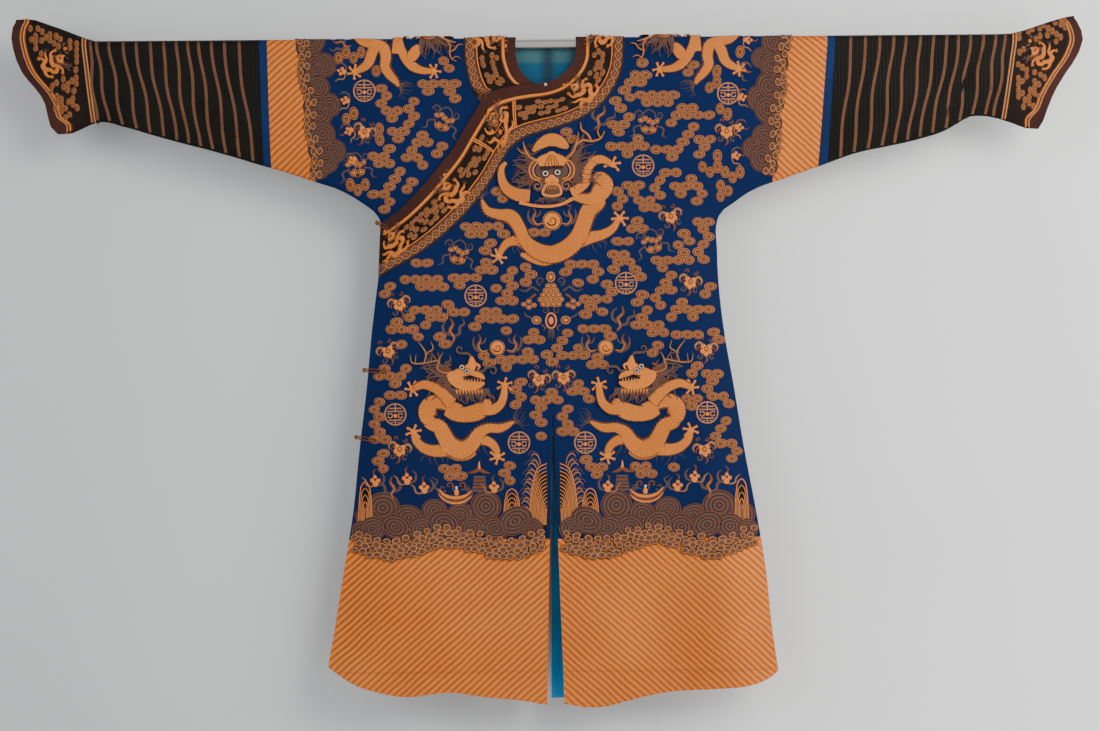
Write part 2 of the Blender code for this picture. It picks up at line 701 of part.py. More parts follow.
def build_collar():
    """The neck binding, the black band and its ribbon edging, side by side round the neck."""
    edge = edge_curve(RIGHT)
    outer_edge = np.vstack((edge_curve(LEFT)[::-1], edge))
    half = SEAM_GAP / 2 / COLLAR_WIDTH
    pieces = (
        ("neck_binding", 0.0, BINDING_SHARE - half, brown_silk),
        ("collar_band", BINDING_SHARE + half, BAND_SHARE - half, black_silk),
        ("collar_edging", BAND_SHARE + half, 1.0, gold_ribbon),
    )
    for name, low, high, colour in pieces:
        shares = np.linspace(low, high, 4)
        near, far = collar_side(low), collar_side(high)
        start = np.array([collar_side(share)[0] for share in shares[1:-1]])
        stop = np.array([collar_side(share)[-1] for share in shares[1:-1]])
        outline = np.vstack((near, stop, far[::-1], start[::-1]))
        lines = shoulder_rows(outline)
        cloth(name, outline, lines, colour, outer_edge, TRIM_WALL, TRIM_LIFT, rounded=False, clear=TRIM_CLEAR)


def build_rod():
    bpy.ops.mesh.primitive_cylinder_add(vertices=ROD_SIDES, radius=ROD_RADIUS, depth=2 * ROD_HALF_LENGTH)
    rod = bpy.context.object
    rod.name = "rod"
    rod.rotation_euler = (0.0, math.pi / 2, 0.0)
    rod.data.shade_smooth()
    rod.data.set_sharp_from_angle(angle=math.radians(40))
    rod.data.materials.append(satin_steel)
    for owner in list(rod.users_collection):
        owner.objects.unlink(rod)
    robe.objects.link(rod)


def build_button(name, centre, direction):
    """A brass ball turned in one piece with its shank, which points along a direction."""
    turn = [math.radians(angle) for angle in (0, 30, 60, 90, 120, 150)]
    profile = [(BALL_RADIUS * math.sin(a), BALL_RADIUS * math.cos(a)) for a in turn]
    profile += [(SHANK_RADIUS, -BALL_RADIUS * 0.96), (SHANK_RADIUS, -SHANK_LENGTH), (0.0, -SHANK_LENGTH)]
    mesh = bpy.data.meshes.new(name)
    mesh.from_pydata([(r, 0.0, h) for r, h in profile], [(i, i + 1) for i in range(len(profile) - 1)], [])
    obj = new_object(name, mesh, brass)
    obj.location = centre
    obj.rotation_mode = "QUATERNION"
    obj.rotation_quaternion = Vector((0.0, 0.0, -1.0)).rotation_difference(Vector(direction))
    lathe = obj.modifiers.new("turned", "SCREW")
    lathe.steps = BALL_STEPS
    lathe.render_steps = BALL_STEPS
    lathe.use_merge_vertices = True
    lathe.merge_threshold = 0.00001


def loop_path(start, end):
    """The loop's line in x and z, from beside the ball to a turn at its far end and back."""
    along = (end - start) / np.linalg.norm(end - start)
    aside = np.array((-along[1], along[0]))
    begin, turn = BALL_RADIUS + CORD_RADIUS * 0.3, np.linalg.norm(end - start) - CORD_SPREAD
    ways = [(t, CORD_SPREAD) for t in np.linspace(begin, turn, 4)]
    ways += [(turn + CORD_SPREAD * math.cos(a), CORD_SPREAD * math.sin(a)) for a in np.radians((45, 0, -45))]
    ways += [(t, -CORD_SPREAD) for t in np.linspace(turn, begin, 4)]
    return np.array([start + along * t + aside * s for t, s in ways])


def front_of(names):
    """What rays from the front meet on the named pieces."""
    graph = bpy.context.evaluated_depsgraph_get()
    places, faces = [], []
    for name in names:
        mesh = bpy.data.objects[name].evaluated_get(graph).to_mesh()
        first = len(places)
        places += [vertex.co.copy() for vertex in mesh.vertices]
        faces += [[first + index for index in face.vertices] for face in mesh.polygons]
    return BVHTree.FromPolygons(places, faces)


def met_from_front(surface, x, z, radius):
    """How far forward a surface reaches within a radius of a point; nothing where there is no surface."""
    around = [(x + a * radius, z + b * radius) for a in (-1, 0, 1) for b in (-1, 0, 1)]
    hits = [surface.ray_cast((u, -RAY_START, v), (0, 1, 0))[0] for u, v in around]
    return min((hit.y for hit in hits if hit), default=None)


def resting(points, surface):
    """Points x, z laid on the front of a surface as the middle of a cord; those past its edge stay level."""
    depths = [met_from_front(surface, x, z, CORD_RADIUS) for x, z in points]
    known = [i for i, depth in enumerate(depths) if depth is not None]
    filled = [depths[min(known, key=lambda k: abs(k - i))] for i in range(len(depths))]
    return np.array([(x, y - CORD_RADIUS - CORD_GAP, z) for (x, z), y in zip(points, filled)])


def build_loop(name, path):
    """A doubled cord that lies on the overlap."""
    curve = bpy.data.curves.new(name, "CURVE")
    curve.dimensions = "3D"
    curve.bevel_depth = CORD_RADIUS
    curve.bevel_resolution = 1
    curve.use_fill_caps = True
    line = curve.splines.new("POLY")
    line.points.add(len(path) - 1)
    for point, place in zip(line.points, path):
        point.co = (*place, 1.0)
    new_object(name, curve, brown_silk)


def build_toggles():
    """The four ball buttons and loops that close the overlap."""
    outer = ("front_overlap", "neck_binding", "collar_band", "collar_edging")
    surface, every_surface = front_of(outer), front_of(outer + ("body_right",))
    for name, x, z, end_x, end_z in TOGGLES:
        start, end = np.array((x, z)), np.array((end_x, end_z))
        path = resting(loop_path(start, end), surface)
        below = met_from_front(every_surface, x, z, BALL_RADIUS)
        depth = path[0][1] if below is None else min(path[0][1], below - BALL_RADIUS - CORD_GAP)
        ball = np.array((x, depth, z))
        build_button("button_" + name, ball, path[len(path) // 2] - ball)
        build_loop("loop_" + name, path)


for old in list(bpy.data.objects):
    bpy.data.objects.remove(old)
robe = bpy.data.collections.new("dragon_robe")
bpy.context.scene.collection.children.link(robe)

blue_silk = material("blue silk", (0.010, 0.022, 0.090), 0.6)
teal_silk = material("teal lining silk", (0.012, 0.085, 0.170), 0.5)
black_silk = material("black silk", (0.010, 0.008, 0.006), 0.6)
piping_silk = material("dark blue ribbed silk", (0.008, 0.018, 0.060), 0.6)
brown_silk = material("brown binding silk", (0.040, 0.014, 0.009), 0.6)
gold_ribbon = material("gold brocade ribbon", (0.250, 0.120, 0.050), 0.5, 0.3)
satin_steel = material("satin steel", (0.50, 0.46, 0.42), 0.35, 1.0)
brass = material("aged brass", (0.280, 0.150, 0.050), 0.4, 1.0)

build_rod()
build_body_left()
build_body_right()
build_overlap()
for half in (LEFT, RIGHT):
    build_lining(half)
    build_sleeve_parts(half)
build_collar()
build_toggles()
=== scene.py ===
"""The looks of a blue silk court robe with couched gold dragons, hung flat on a rod.

Metres, +Z up, in the frame's place. The robe's front faces -Y. Left and right are the wearer's, so left
is at +X. The surface functions are the same as the frame's, on a finer grid and with more creases.
Embroidery is drawn over the cloth's flat pattern and then laid on the hanging cloth.
"""
import math

import bmesh
import bpy
import numpy as np
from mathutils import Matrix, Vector, geometry


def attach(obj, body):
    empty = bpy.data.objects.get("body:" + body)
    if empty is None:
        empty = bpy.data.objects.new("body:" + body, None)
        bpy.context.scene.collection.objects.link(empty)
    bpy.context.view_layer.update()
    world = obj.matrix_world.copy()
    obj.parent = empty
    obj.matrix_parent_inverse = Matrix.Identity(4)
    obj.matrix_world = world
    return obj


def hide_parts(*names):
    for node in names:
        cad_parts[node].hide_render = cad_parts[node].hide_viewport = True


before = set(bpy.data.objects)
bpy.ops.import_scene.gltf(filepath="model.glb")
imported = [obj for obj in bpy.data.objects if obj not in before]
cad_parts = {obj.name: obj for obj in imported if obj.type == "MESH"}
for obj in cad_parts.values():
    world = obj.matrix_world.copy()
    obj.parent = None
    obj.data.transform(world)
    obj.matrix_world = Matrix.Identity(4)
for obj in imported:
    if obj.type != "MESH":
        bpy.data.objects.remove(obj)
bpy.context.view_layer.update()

LEFT, RIGHT = 1, -1
FRONT, BACK = -1, 1

# Rod

# Cloth walls and the gaps between pieces
WALL = 0.0020
LINING_WALL = 0.0010
TRIM_WALL = 0.0012
SEAM_GAP = 0.0005
TRIM_LIFT = 0.0005
LINING_DROP = WALL + 0.0012
OVERLAP_LIFT = 0.0032

# Drape
SHOULDER_RADIUS = 0.0128
SHOULDER_STEPS = 6
FOLD = SHOULDER_RADIUS * math.pi / 2
EDGE_RADIUS = 0.005
EDGE_TAPER = 0.090
GRID = 0.015
OUTLINE_STEP = 0.014
CLEAR, TRIM_CLEAR = 0.006, 0.003
ROW_SNAP = 0.0012
CORNER_CLEAR = 0.004
FINE_STEP = 0.004

# Centre seam, vent and the free edge of the under front
SEAM_X = 0.005
VENT_TOP = -0.736
UNDER_FRONT_X = -0.014
UNDER_INSET = 0.004
UNDER_INSET_TOP = -0.355
UNDER_INSET_FULL = -0.430
UNDER_HEM_RISE = 0.008

# Collar: shares of its width, from the neck outwards
BINDING_SHARE = 0.21
BAND_SHARE = 0.77
COLLAR_STEP = 0.010
COLLAR_WIDTH = 0.100

# Cuff, and how far a seam line round the arm starts square to the lower seam
CUFF_BINDING_WIDTH = 0.017
SEAM_SQUARE = 0.016

# Lining
LINING_TOP = -0.006
LINING_HALF_WIDTH = 0.220
LINING_HEM_RISE = 0.010
LINING_VENT_INSET = 0.001
LINING_STEP = 0.014

# Lower outline of each half, from the hem corner to the armpit, the wrist and the cuff's tip:
# right x, right z, left x, left z
EDGE = (
    (0.448, -1.242, 0.452, -1.257),
    (0.435, -1.170, 0.440, -1.170),
    (0.415, -1.050, 0.428, -1.050),
    (0.395, -0.930, 0.409, -0.930),
    (0.382, -0.810, 0.387, -0.810),
    (0.367, -0.690, 0.368, -0.690),
    (0.355, -0.570, 0.348, -0.570),
    (0.342, -0.470, 0.338, -0.470),
    (0.334, -0.410, 0.336, -0.410),
    (0.335, -0.365, 0.335, -0.365),
    (0.340, -0.345, 0.340, -0.347),
    (0.350, -0.332, 0.350, -0.334),
    (0.366, -0.320, 0.368, -0.322),
    (0.390, -0.304, 0.390, -0.306),
    (0.420, -0.288, 0.420, -0.290),
    (0.465, -0.273, 0.465, -0.275),
    (0.515, -0.256, 0.515, -0.258),
    (0.554, -0.244, 0.539, -0.250),
    (0.569, -0.240, 0.558, -0.243),
    (0.620, -0.224, 0.620, -0.222),
    (0.675, -0.208, 0.675, -0.211),
    (0.735, -0.192, 0.735, -0.198),
    (0.795, -0.175, 0.795, -0.179),
    (0.830, -0.164, 0.820, -0.165),
    (0.856, -0.157, 0.844, -0.152),
    (0.880, -0.150, 0.868, -0.151),
    (0.902, -0.150, 0.904, -0.158),
    (0.928, -0.161, 0.928, -0.166),
    (0.952, -0.171, 0.955, -0.176),
    (0.980, -0.173, 0.980, -0.178),
)
# Rows of EDGE where the body cloth, the piping and the sleeve end
BODY_END, PIPING_END, SLEEVE_END = 17, 18, 26
# The row at the armpit, and the height above which the outline stays past it
ARMPIT_ROW = 10
ARM_BELOW = -0.310
# How far out those ends lie on the shoulder line: right x, left x
SHOULDER_ENDS = {BODY_END: (0.560, 0.559), PIPING_END: (0.5755, 0.5745), SLEEVE_END: (0.919, 0.927)}

# Open edge of the cuff, from its lower tip up: right x, right z, left x, left z
CUFF_MOUTH = (
    (0.980, -0.173, 0.980, -0.178),
    (0.994, -0.158, 0.990, -0.161),
    (0.999, -0.138, 0.998, -0.138),
    (1.004, -0.113, 1.008, -0.113),
    (1.012, -0.097, 1.016, -0.097),
    (1.024, -0.081, 1.026, -0.081),
    (1.038, -0.065, 1.036, -0.065),
    (1.050, -0.049, 1.048, -0.049),
    (1.061, -0.025, 1.062, -0.025),
    (1.068, 0.000, 1.070, 0.000),
    (1.071, 0.020, 1.067, 0.018),
    (1.068, 0.040, 1.058, 0.036),
)
CUFF_CORNER = (1.062, 1.053)

# Height of the shoulder line's outer face over the rod and along the cuff: x, right z, left z
SHOULDER_TOP = (
    (0.905, 0.0128, 0.0128),
    (0.928, 0.0205, 0.0140),
    (0.952, 0.0300, 0.0195),
    (0.976, 0.0394, 0.0275),
    (1.000, 0.0474, 0.0355),
    (1.020, 0.0555, 0.0415),
    (1.040, 0.0584, 0.0463),
    (1.062, 0.0570, 0.0495),
)
# Fold radius of the shoulder line: x, radius
SHOULDER_FOLD = ((0.905, SHOULDER_RADIUS), (0.950, 0.0105), (1.000, 0.0085), (1.070, 0.0080))

# Hems: x, z
FRONT_HEM = (
    (-0.448, -1.242), (-0.424, -1.259), (-0.400, -1.274), (-0.352, -1.290), (-0.300, -1.300),
    (-0.200, -1.293), (-0.140, -1.302), (-0.050, -1.311), (-0.011, -1.318), (0.023, -1.317),
    (0.070, -1.324), (0.100, -1.323), (0.160, -1.309), (0.220, -1.297), (0.340, -1.289),
    (0.388, -1.285), (0.436, -1.269), (0.452, -1.257),
)
BACK_HEM = (
    (-0.448, -1.242), (-0.400, -1.268), (-0.300, -1.290), (-0.150, -1.302), (-0.002, -1.310),
    (0.150, -1.303), (0.300, -1.291), (0.400, -1.276), (0.452, -1.257),
)
# Vent edges: z, left front, overlap, left back, right back
VENT = (
    (-0.736, 0.0050, 0.0050, 0.0050, 0.0050),
    (-1.000, 0.0130, -0.0030, 0.0010, -0.0100),
    (-1.330, 0.0242, -0.0112, -0.0030, -0.0240),
)
# Free edge of the under front: z, x
UNDER_EDGE = ((-0.085, UNDER_FRONT_X), (-0.736, UNDER_FRONT_X), (-1.330, -0.036))

# Neck edge and outer edge of the collar in front, from the left shoulder round to the side:
# neck x, neck z, outer x, outer z
COLLAR_OVER = (
    (0.057, -0.010, 0.153, -0.010),
    (0.056, -0.026, 0.151, -0.041),
    (0.049, -0.042, 0.138, -0.081),
    (0.035, -0.058, 0.111, -0.119),
    (0.018, -0.071, 0.070, -0.149),
    (-0.005, -0.079, 0.024, -0.167),
    (-0.040, -0.082, -0.014, -0.178),
    (-0.080, -0.087, -0.048, -0.190),
    (-0.106, -0.094, -0.063, -0.200),
    (-0.126, -0.106, -0.075, -0.210),
    (-0.139, -0.125, -0.083, -0.221),
    (-0.154, -0.149, -0.090, -0.233),
    (-0.170, -0.175, -0.098, -0.247),
    (-0.190, -0.209, -0.112, -0.271),
    (-0.223, -0.250, -0.140, -0.310),
    (-0.261, -0.294, -0.190, -0.364),
    (-0.300, -0.332, -0.256, -0.416),
    (-0.3365, -0.358, -0.3415, -0.464),
)
# The same edges behind, from the right shoulder to the left: neck x, neck q, outer x, outer q
COLLAR_BACK = (
    (-0.064, 0.000, -0.167, 0.000),
    (-0.062, 0.009, -0.165, 0.038),
    (-0.050, 0.017, -0.148, 0.078),
    (-0.028, 0.0212, -0.092, 0.112),
    (-0.003, 0.0222, -0.008, 0.123),
    (0.022, 0.0212, 0.078, 0.112),
    (0.044, 0.017, 0.134, 0.078),
    (0.055, 0.009, 0.151, 0.038),
    (0.057, 0.000, 0.153, 0.000),
)
# The under end of the collar, from where it passes under the overlap up to the right shoulder:
# neck x, neck z, outer x, outer z
COLLAR_UNDER = (
    (-0.035, -0.075, -0.148, -0.095),
    (-0.049, -0.062, -0.156, -0.079),
    (-0.059, -0.042, -0.162, -0.056),
    (-0.064, -0.022, -0.166, -0.032),
    (-0.064, -0.006, -0.167, -0.008),
)
UNDER_END_X = (-0.030, -0.134)
UNDER_END_GAP = 0.0008
BACK_NECK_Z = FOLD - 0.0222

# Soft folds that fall from the waist: x at the hem, half width, height in front, height behind
FOLDS = (
    (-0.370, 0.070, 0.003, 0.006),
    (-0.280, 0.075, 0.006, 0.001),
    (-0.125, 0.070, -0.003, 0.006),
    (-0.040, 0.065, 0.005, -0.002),
    (0.100, 0.075, 0.007, 0.004),
    (0.225, 0.070, -0.004, 0.006),
    (0.370, 0.075, 0.006, -0.002),
)
FOLDS_TOP, FOLDS_FULL = -0.50, -1.25
# Half depth that the body gains on its way down: z, depth
FULLNESS = ((-1.300, 0.012), (-0.900, 0.009), (-0.500, 0.006), (-0.100, 0.002), (0.000, 0.000))


# Wrinkles: x, z, half length, half width, direction in degrees, height in front, height behind
CREASES = (
    (-0.150, -0.300, 0.160, 0.030, -70, 0.0010, 0.0008),
    (0.240, -0.200, 0.200, 0.030, 60, 0.0012, -0.0010),
    (-0.300, -0.160, 0.170, 0.028, -55, 0.0011, 0.0010),
    (0.330, -0.420, 0.150, 0.032, 78, -0.0012, 0.0010),
    (-0.290, -0.560, 0.190, 0.030, 86, 0.0012, -0.0009),
    (0.050, -0.620, 0.200, 0.034, 84, -0.0010, 0.0010),
    (0.220, -0.900, 0.220, 0.034, 82, 0.0014, 0.0012),
    (-0.200, -0.930, 0.230, 0.036, 97, -0.0013, 0.0013),
    (0.340, -1.060, 0.200, 0.032, 78, 0.0014, -0.0010),
    (-0.340, -1.080, 0.200, 0.032, 101, 0.0014, 0.0012),
    (-0.720, -0.090, 0.120, 0.014, -42, -0.0022, 0.0012),
    (-0.665, -0.120, 0.110, 0.013, -38, 0.0020, -0.0014),
    (-0.640, -0.170, 0.090, 0.012, -30, -0.0016, 0.0010),
    (-0.790, -0.070, 0.080, 0.012, -50, 0.0014, 0.0010),
    (0.828, -0.085, 0.090, 0.012, 62, -0.0034, 0.0016),
    (0.852, -0.080, 0.085, 0.011, 64, 0.0024, -0.0016),
    (0.800, -0.100, 0.080, 0.012, 58, 0.0018, 0.0012),
    (0.700, -0.110, 0.120, 0.016, 75, 0.0010, 0.0010),
    (0.895, -0.060, 0.060, 0.010, 75, -0.0014, 0.0010),
)
CHUNK = 12000

# Threads of the embroidery, in the order of a piece's materials
GOLD, PALE, COPPER, DUSK, DARK, SCALES, WHITE = range(7)
MM = 0.001
STITCH_LIFT = 0.0003
THREAD_HEIGHT = 0.0006
LIMB_ORDER = (
    ("flap", 0.0), ("leg_back", 0.0002), ("leg_front", 0.0002), ("body", 0.0011), ("coil", 0.0020),
    ("chest", 0.0029),
    ("neck", 0.0029), ("arm_back", 0.0037), ("arm", 0.0037), ("arm_front", 0.0037),
)
HEAD_RISE = 0.0034
FIN_SIDE = {"front": 1, "side": 1}
TAIL_SWEEP = {"front": (60, 150), "side": (-20, 80)}

# Blue ground: half width and heights, then a cloud's lobes: pitch, room that a lobe needs and keeps
GROUND_X = 0.480
GROUND_LOW, GROUND_TOP = -0.900, 0.950
CLOUD_LOW = -0.895
WAVE_REACH = (0.430, 0.444)
LOBE_PITCH = (0.0215, 0.0150)
LOBE_ROOM = 0.0090
LOBE_KEEP = 0.0152
CLOUD_SIZES = ((7, 30000), (6, 30000), (5, 30000), (4, 40000), (3, 40000), (2, 20000), (1, 1500))
SCALE_PITCH = 0.0044
LINE_WIDTH = 0.0028

# Gold bands, measured from the shoulder line: hem, its stitched line, sleeves left and right
HEM_BAND = 0.988
HEM_STITCH = 1.252
SLEEVE_BAND = (0.478, 0.495)
STRIPE_ANGLE = math.radians(42)
STRIPE_PITCH = 0.0104

# Waves: distance from the middle, z, half width, half height, turn in degrees
WAVES = (
    (0.130, -0.922, 0.032, 0.032, 0), (0.335, -0.924, 0.034, 0.031, 0), (0.232, -0.930, 0.027, 0.024, 12),
    (0.182, -0.940, 0.030, 0.026, -20), (0.283, -0.944, 0.031, 0.024, 20),
    (0.386, -0.946, 0.030, 0.026, 25),
    (0.072, -0.952, 0.036, 0.027, -28), (0.040, -0.966, 0.026, 0.022, 24),
    (0.112, -0.966, 0.030, 0.022, 18),
    (0.158, -0.966, 0.028, 0.024, -18), (0.212, -0.958, 0.032, 0.026, 26),
    (0.260, -0.966, 0.028, 0.024, -22),
    (0.310, -0.962, 0.032, 0.025, 22), (0.356, -0.966, 0.028, 0.025, -16),
    (0.396, -0.972, 0.022, 0.022, 10),
)
FOAM_RISE, FOAM_PITCH = 0.0112, 0.0150
BACK_WAVES = 6
VENT_SIDE = ({LEFT: 0.016, RIGHT: 0.006}, {LEFT: 0.005, RIGHT: 0.014})
# Mountains: x, foot, top, half width
MOUNTAINS = ((0.0, -0.960, -0.838, 0.036), (0.078, -0.954, -0.888, 0.017), (0.384, -0.954, -0.872, 0.014))

# Copper lines of the sleeves: x at the shoulder line, x at the lower seam
SLEEVE_LINES = {
    LEFT: (
        (0.606, 0.584), (0.635, 0.611), (0.664, 0.639), (0.692, 0.667), (0.717, 0.692), (0.746, 0.718),
        (0.772, 0.743),
        (0.798, 0.768), (0.821, 0.795), (0.845, 0.822), (0.871, 0.848), (0.896, 0.874), (0.915, 0.890),
    ),
    RIGHT: (
        (0.616, 0.590), (0.645, 0.617), (0.671, 0.644), (0.697, 0.670), (0.719, 0.694), (0.742, 0.718),
        (0.767, 0.742),
        (0.793, 0.768), (0.821, 0.795), (0.847, 0.822), (0.876, 0.850), (0.901, 0.876), (0.913, 0.900),
    ),
}
COLLAR_MOTIFS = (
    ("dragon", 0.115, 1), ("dragon", 0.300, -1), ("dragon", 0.430, 1), ("dragon", 0.560, -1),
    ("face", 0.745, 1), ("dragon", 0.905, 1), ("dragon", 1.060, -1),
)

# Badges and small emblems: x, z
MEDALLIONS = (
    (-0.366, -0.092), (0.189, -0.246), (0.360, -0.103), (-0.147, -0.503), (0.153, -0.480),
    (-0.309, -0.738),
    (-0.063, -0.796), (0.069, -0.797), (0.313, -0.739),
)
BASKETS = ((-0.209, -0.155), (0.201, -0.164), (0.207, -0.402), (-0.181, -0.421), (-0.383, -0.245))
LEAVES = (
    (-0.367, -0.176), (0.356, -0.181), (0.244, -0.350), (-0.301, -0.810), (0.307, -0.815),
    (-0.023, -0.672),
    (0.027, -0.669), (-0.322, -0.614), (0.312, -0.615), (-0.299, -0.520), (0.281, -0.481),
)
FLAMES = ((0.104, -0.149), (-0.225, -0.640), (0.230, -0.650), (0.141, -0.550), (-0.195, -0.571))

# Cuff: lines beside its binding (distance in, width, thread) and its field of clouds
CUFF_LINES = (
    (0.0186, 0.0026, PALE), (0.0218, 0.0016, COPPER), (0.0250, 0.0030, GOLD), (0.0284, 0.0014, COPPER)
)
CUFF_FIELD = (
    (0.934, -0.134), (0.968, -0.149), (0.986, -0.132), (0.999, -0.084), (1.019, -0.045), (1.033, -0.010),
    (1.040, 0.020), (1.040, 0.052), (0.990, 0.038), (0.934, 0.018),
)

# Studio
WALL_Y = 0.110
FLOOR_Z = -1.62
CAMERA_DISTANCE = 6.0
CAMERA_Z = -0.643
CAMERA_LENS = 36.0 * CAMERA_DISTANCE / 2.20
CAMERA_ROLL = math.radians(0.46)
LIGHTS = (
    ("key", (2.6, -4.2, 1.6), (0.0, 0.0, -0.5), (2.6, 2.6), 190.0, (1.0, 0.97, 0.92)),
    ("glow", (3.2, -1.8, 0.0), (2.1, 0.11, -0.4), (1.4, 1.4), 46.0, (1.0, 1.0, 1.0)),
    ("fill", (-3.4, -4.0, 0.4), (0.0, 0.0, -0.6), (2.6, 2.6), 80.0, (0.93, 0.96, 1.0)),
)
SLOTS = {
    "body": "blue_silk", "front": "blue_silk", "lining": "teal_lining", "piping": "piping_silk",
    "sleeve": "black_silk", "cuff_left": "black_silk", "cuff_right": "black_silk",
    "cuff_binding_left": "brown_silk", "cuff_binding_right": "brown_silk",
    "neck": "brown_silk", "collar_band": "black_silk", "collar_edging": "gold_ribbon",
}
STRIPS = (
    "piping_left", "piping_right", "cuff_binding_left", "cuff_binding_right",
    "neck_binding", "collar_band", "collar_edging",
)
NECK_STITCH = (-0.004, -0.084)
sizes = {}

# The chest dragon, drawn in millimetres from its middle: x, height, width of the couched form
CHEST_DRAGON = {
    "coil": ((46, 8, 16), (62, 2, 18), (82, 1, 24), (98, 13, 34), (106, 29, 36), (100, 41, 28),
        (86, 47, 12),),
    "body": ((106, -1, 12), (94, -9, 24), (76, -21, 30), (66, -45, 30), (55, -72, 32), (33, -96, 34),
        (1, -109, 34), (-31, -100, 30), (-53, -80, 24), (-64, -55, 24), (-80, -33, 26), (-106, -28, 19),
        (-126, -21, 15), (-138, 1, 4),),
    "neck": ((40, 14, 18), (56, 22, 18), (70, 37, 18), (72, 57, 18), (81, 73, 18), (99, 80, 16),
        (119, 73, 10),),
    "leg_back": ((53, -84, 26), (81, -75, 22), (105, -69, 18), (124, -57, 14), (134, -41, 10),),
    "leg_front": ((-43, -94, 24), (-67, -81, 19), (-87, -85, 16), (-99, -99, 12), (-105, -111, 10),),
    "arm": ((-42, 8, 24), (-68, 11, 24), (-88, 23, 20), (-98, 45, 14), (-97, 65, 10), (-89, 75, 6),),
    "flap": ((-61, -108, 6), (-39, -116, 16), (-13, -122, 18), (9, -120, 8),),
    "claws": ((123, 69, 78, 3.6), (137, -39, 68, 3.6), (-105, -112, 235, 3.4),),
    "pearl": ((2, -42),),
    "head": ((2, 56),),
}

# A dragon that walks to the right and looks up, one at each side of the vent
WALKING_DRAGON = {
    "coil": ((-2, -8, 16), (-22, -2, 22), (-42, 6, 24), (-60, 6, 28), (-70, -7, 34), (-70, -23, 30),
        (-64, -31, 18),),
    "body": ((-76, -25, 10), (-66, -35, 22), (-48, -42, 28), (-36, -62, 30), (-25, -80, 34),
        (-1, -89, 34), (19, -76, 28), (32, -56, 23), (50, -46, 18), (74, -46, 16), (90, -40, 11),
        (102, -33, 4),),
    "chest": ((48, 12, 10), (48, 0, 24), (32, -12, 32), (8, -18, 30), (-18, -16, 26), (-34, -10, 18),),
    "arm_back": ((-22, 4, 24), (-38, 22, 21), (-58, 37, 18), (-78, 42, 16), (-96, 35, 11),),
    "arm_front": ((42, -8, 24), (62, -8, 19), (76, 3, 16), (82, 19, 14), (84, 37, 11),),
    "leg_back": ((-33, -88, 26), (-57, -90, 22), (-79, -83, 18), (-93, -69, 15), (-98, -53, 10),),
    "leg_front": ((19, -70, 24), (41, -69, 19), (59, -78, 16), (67, -91, 13), (68, -101, 10),),
    "flap": ((-35, -94, 8), (-11, -101, 16), (11, -100, 14), (25, -94, 6),),
    "claws": ((-99, 34, 190, 3.4), (84, 39, 88, 3.4), (-98, -53, 82, 3.4), (68, -102, 270, 3.4),),
    "pearl": ((70, 114),),
    "head": ((4, 62),),
}

# The front half of a shoulder dragon; its head lies on the shoulder line
SHOULDER_DRAGON = {
    "body": ((-86, 33, 10), (-78, 11, 18), (-64, -5, 20), (-42, -12, 21), (-22, -22, 22),
        (-18, -40, 20), (-20, -58, 18), (-11, -74, 16), (3, -90, 10), (7, -98, 4),),
    "leg": ((-38, -14, 20), (-46, -32, 20), (-54, -52, 18), (-67, -62, 14), (-79, -67, 10),),
    "arm": ((2, 32, 16), (6, 0, 16), (12, -22, 16), (22, -42, 18), (36, -58, 18), (53, -66, 14),
        (73, -68, 10),),
    "lump": ((26, -48, 12), (36, -36, 22), (44, -24, 18), (48, -16, 8),),
    "claws": ((-80, -68, 205, 3.2), (77, -68, 5, 3.2),),
    "head": ((66, 27),),
}


def smooth(value):
    """Eases a share between 0 and 1 at both ends."""
    value = np.clip(value, 0.0, 1.0)
    return value * value * (3.0 - 2.0 * value)


def spline(points, step):
    """Points about one step apart on a smooth curve through the given ones, which it keeps."""
    knots = np.array(points, float)
    along = np.concatenate(([0.0], np.cumsum(np.linalg.norm(np.diff(knots, axis=0), axis=1))))
    slopes = np.gradient(knots, along, axis=0)
    made = []
    for i in range(len(knots) - 1):
        span = along[i + 1] - along[i]
        count = max(1, math.ceil(span / step - 0.2))
        for t in np.arange(count) / count:
            made.append(
                (2 * t**3 - 3 * t**2 + 1) * knots[i]
                + (t**3 - 2 * t**2 + t) * span * slopes[i]
                + (3 * t**2 - 2 * t**3) * knots[i + 1]
                + (t**3 - t**2) * span * slopes[i + 1]
            )
    made.append(knots[-1])
    return np.array(made)


def of_side(rows, side):
    """The x and z columns of one side of a table of both, with x signed."""
    column = 2 if side == LEFT else 0
    return [(side * row[column], row[column + 1]) for row in rows]


def shoulder_radius(x):
    """The radius of the fold over the rod at x."""
    return np.interp(np.abs(x), *zip(*SHOULDER_FOLD))


def shoulder_centre(x):
    """Height of the axis that the shoulder line folds over."""
    reach, right, left = zip(*SHOULDER_TOP)
    top = np.where(
        np.asarray(x) > 0, np.interp(np.abs(x), reach, left), np.interp(np.abs(x), reach, right)
    )
    return top - shoulder_radius(x)


def flat(points, face):
    """Points x, z of the hanging front or back as points x, q of the pattern."""
    points = np.asarray(points, float)
    drop = shoulder_centre(points[:, 0]) - points[:, 1]
    return np.column_stack((points[:, 0], face * (FOLD + drop)))


def fullness(x, z, face):
    """What the body's half depth gains below the shoulder, with its soft folds."""
    heights, depths = zip(*FULLNESS)
    side = EDGE[:ARMPIT_ROW]
    spread = np.interp(z, [row[1] for row in side], [row[0] for row in side]) / side[0][0]
    total = np.interp(z, heights, depths)
    fall = smooth((FOLDS_TOP - z) / (FOLDS_TOP - FOLDS_FULL))
    for place, width, front, behind in FOLDS:
        height = np.where(face < 0, front, behind)
        total = total + fall * height * np.exp(-(((x - place * spread) / width) ** 2))
    return total


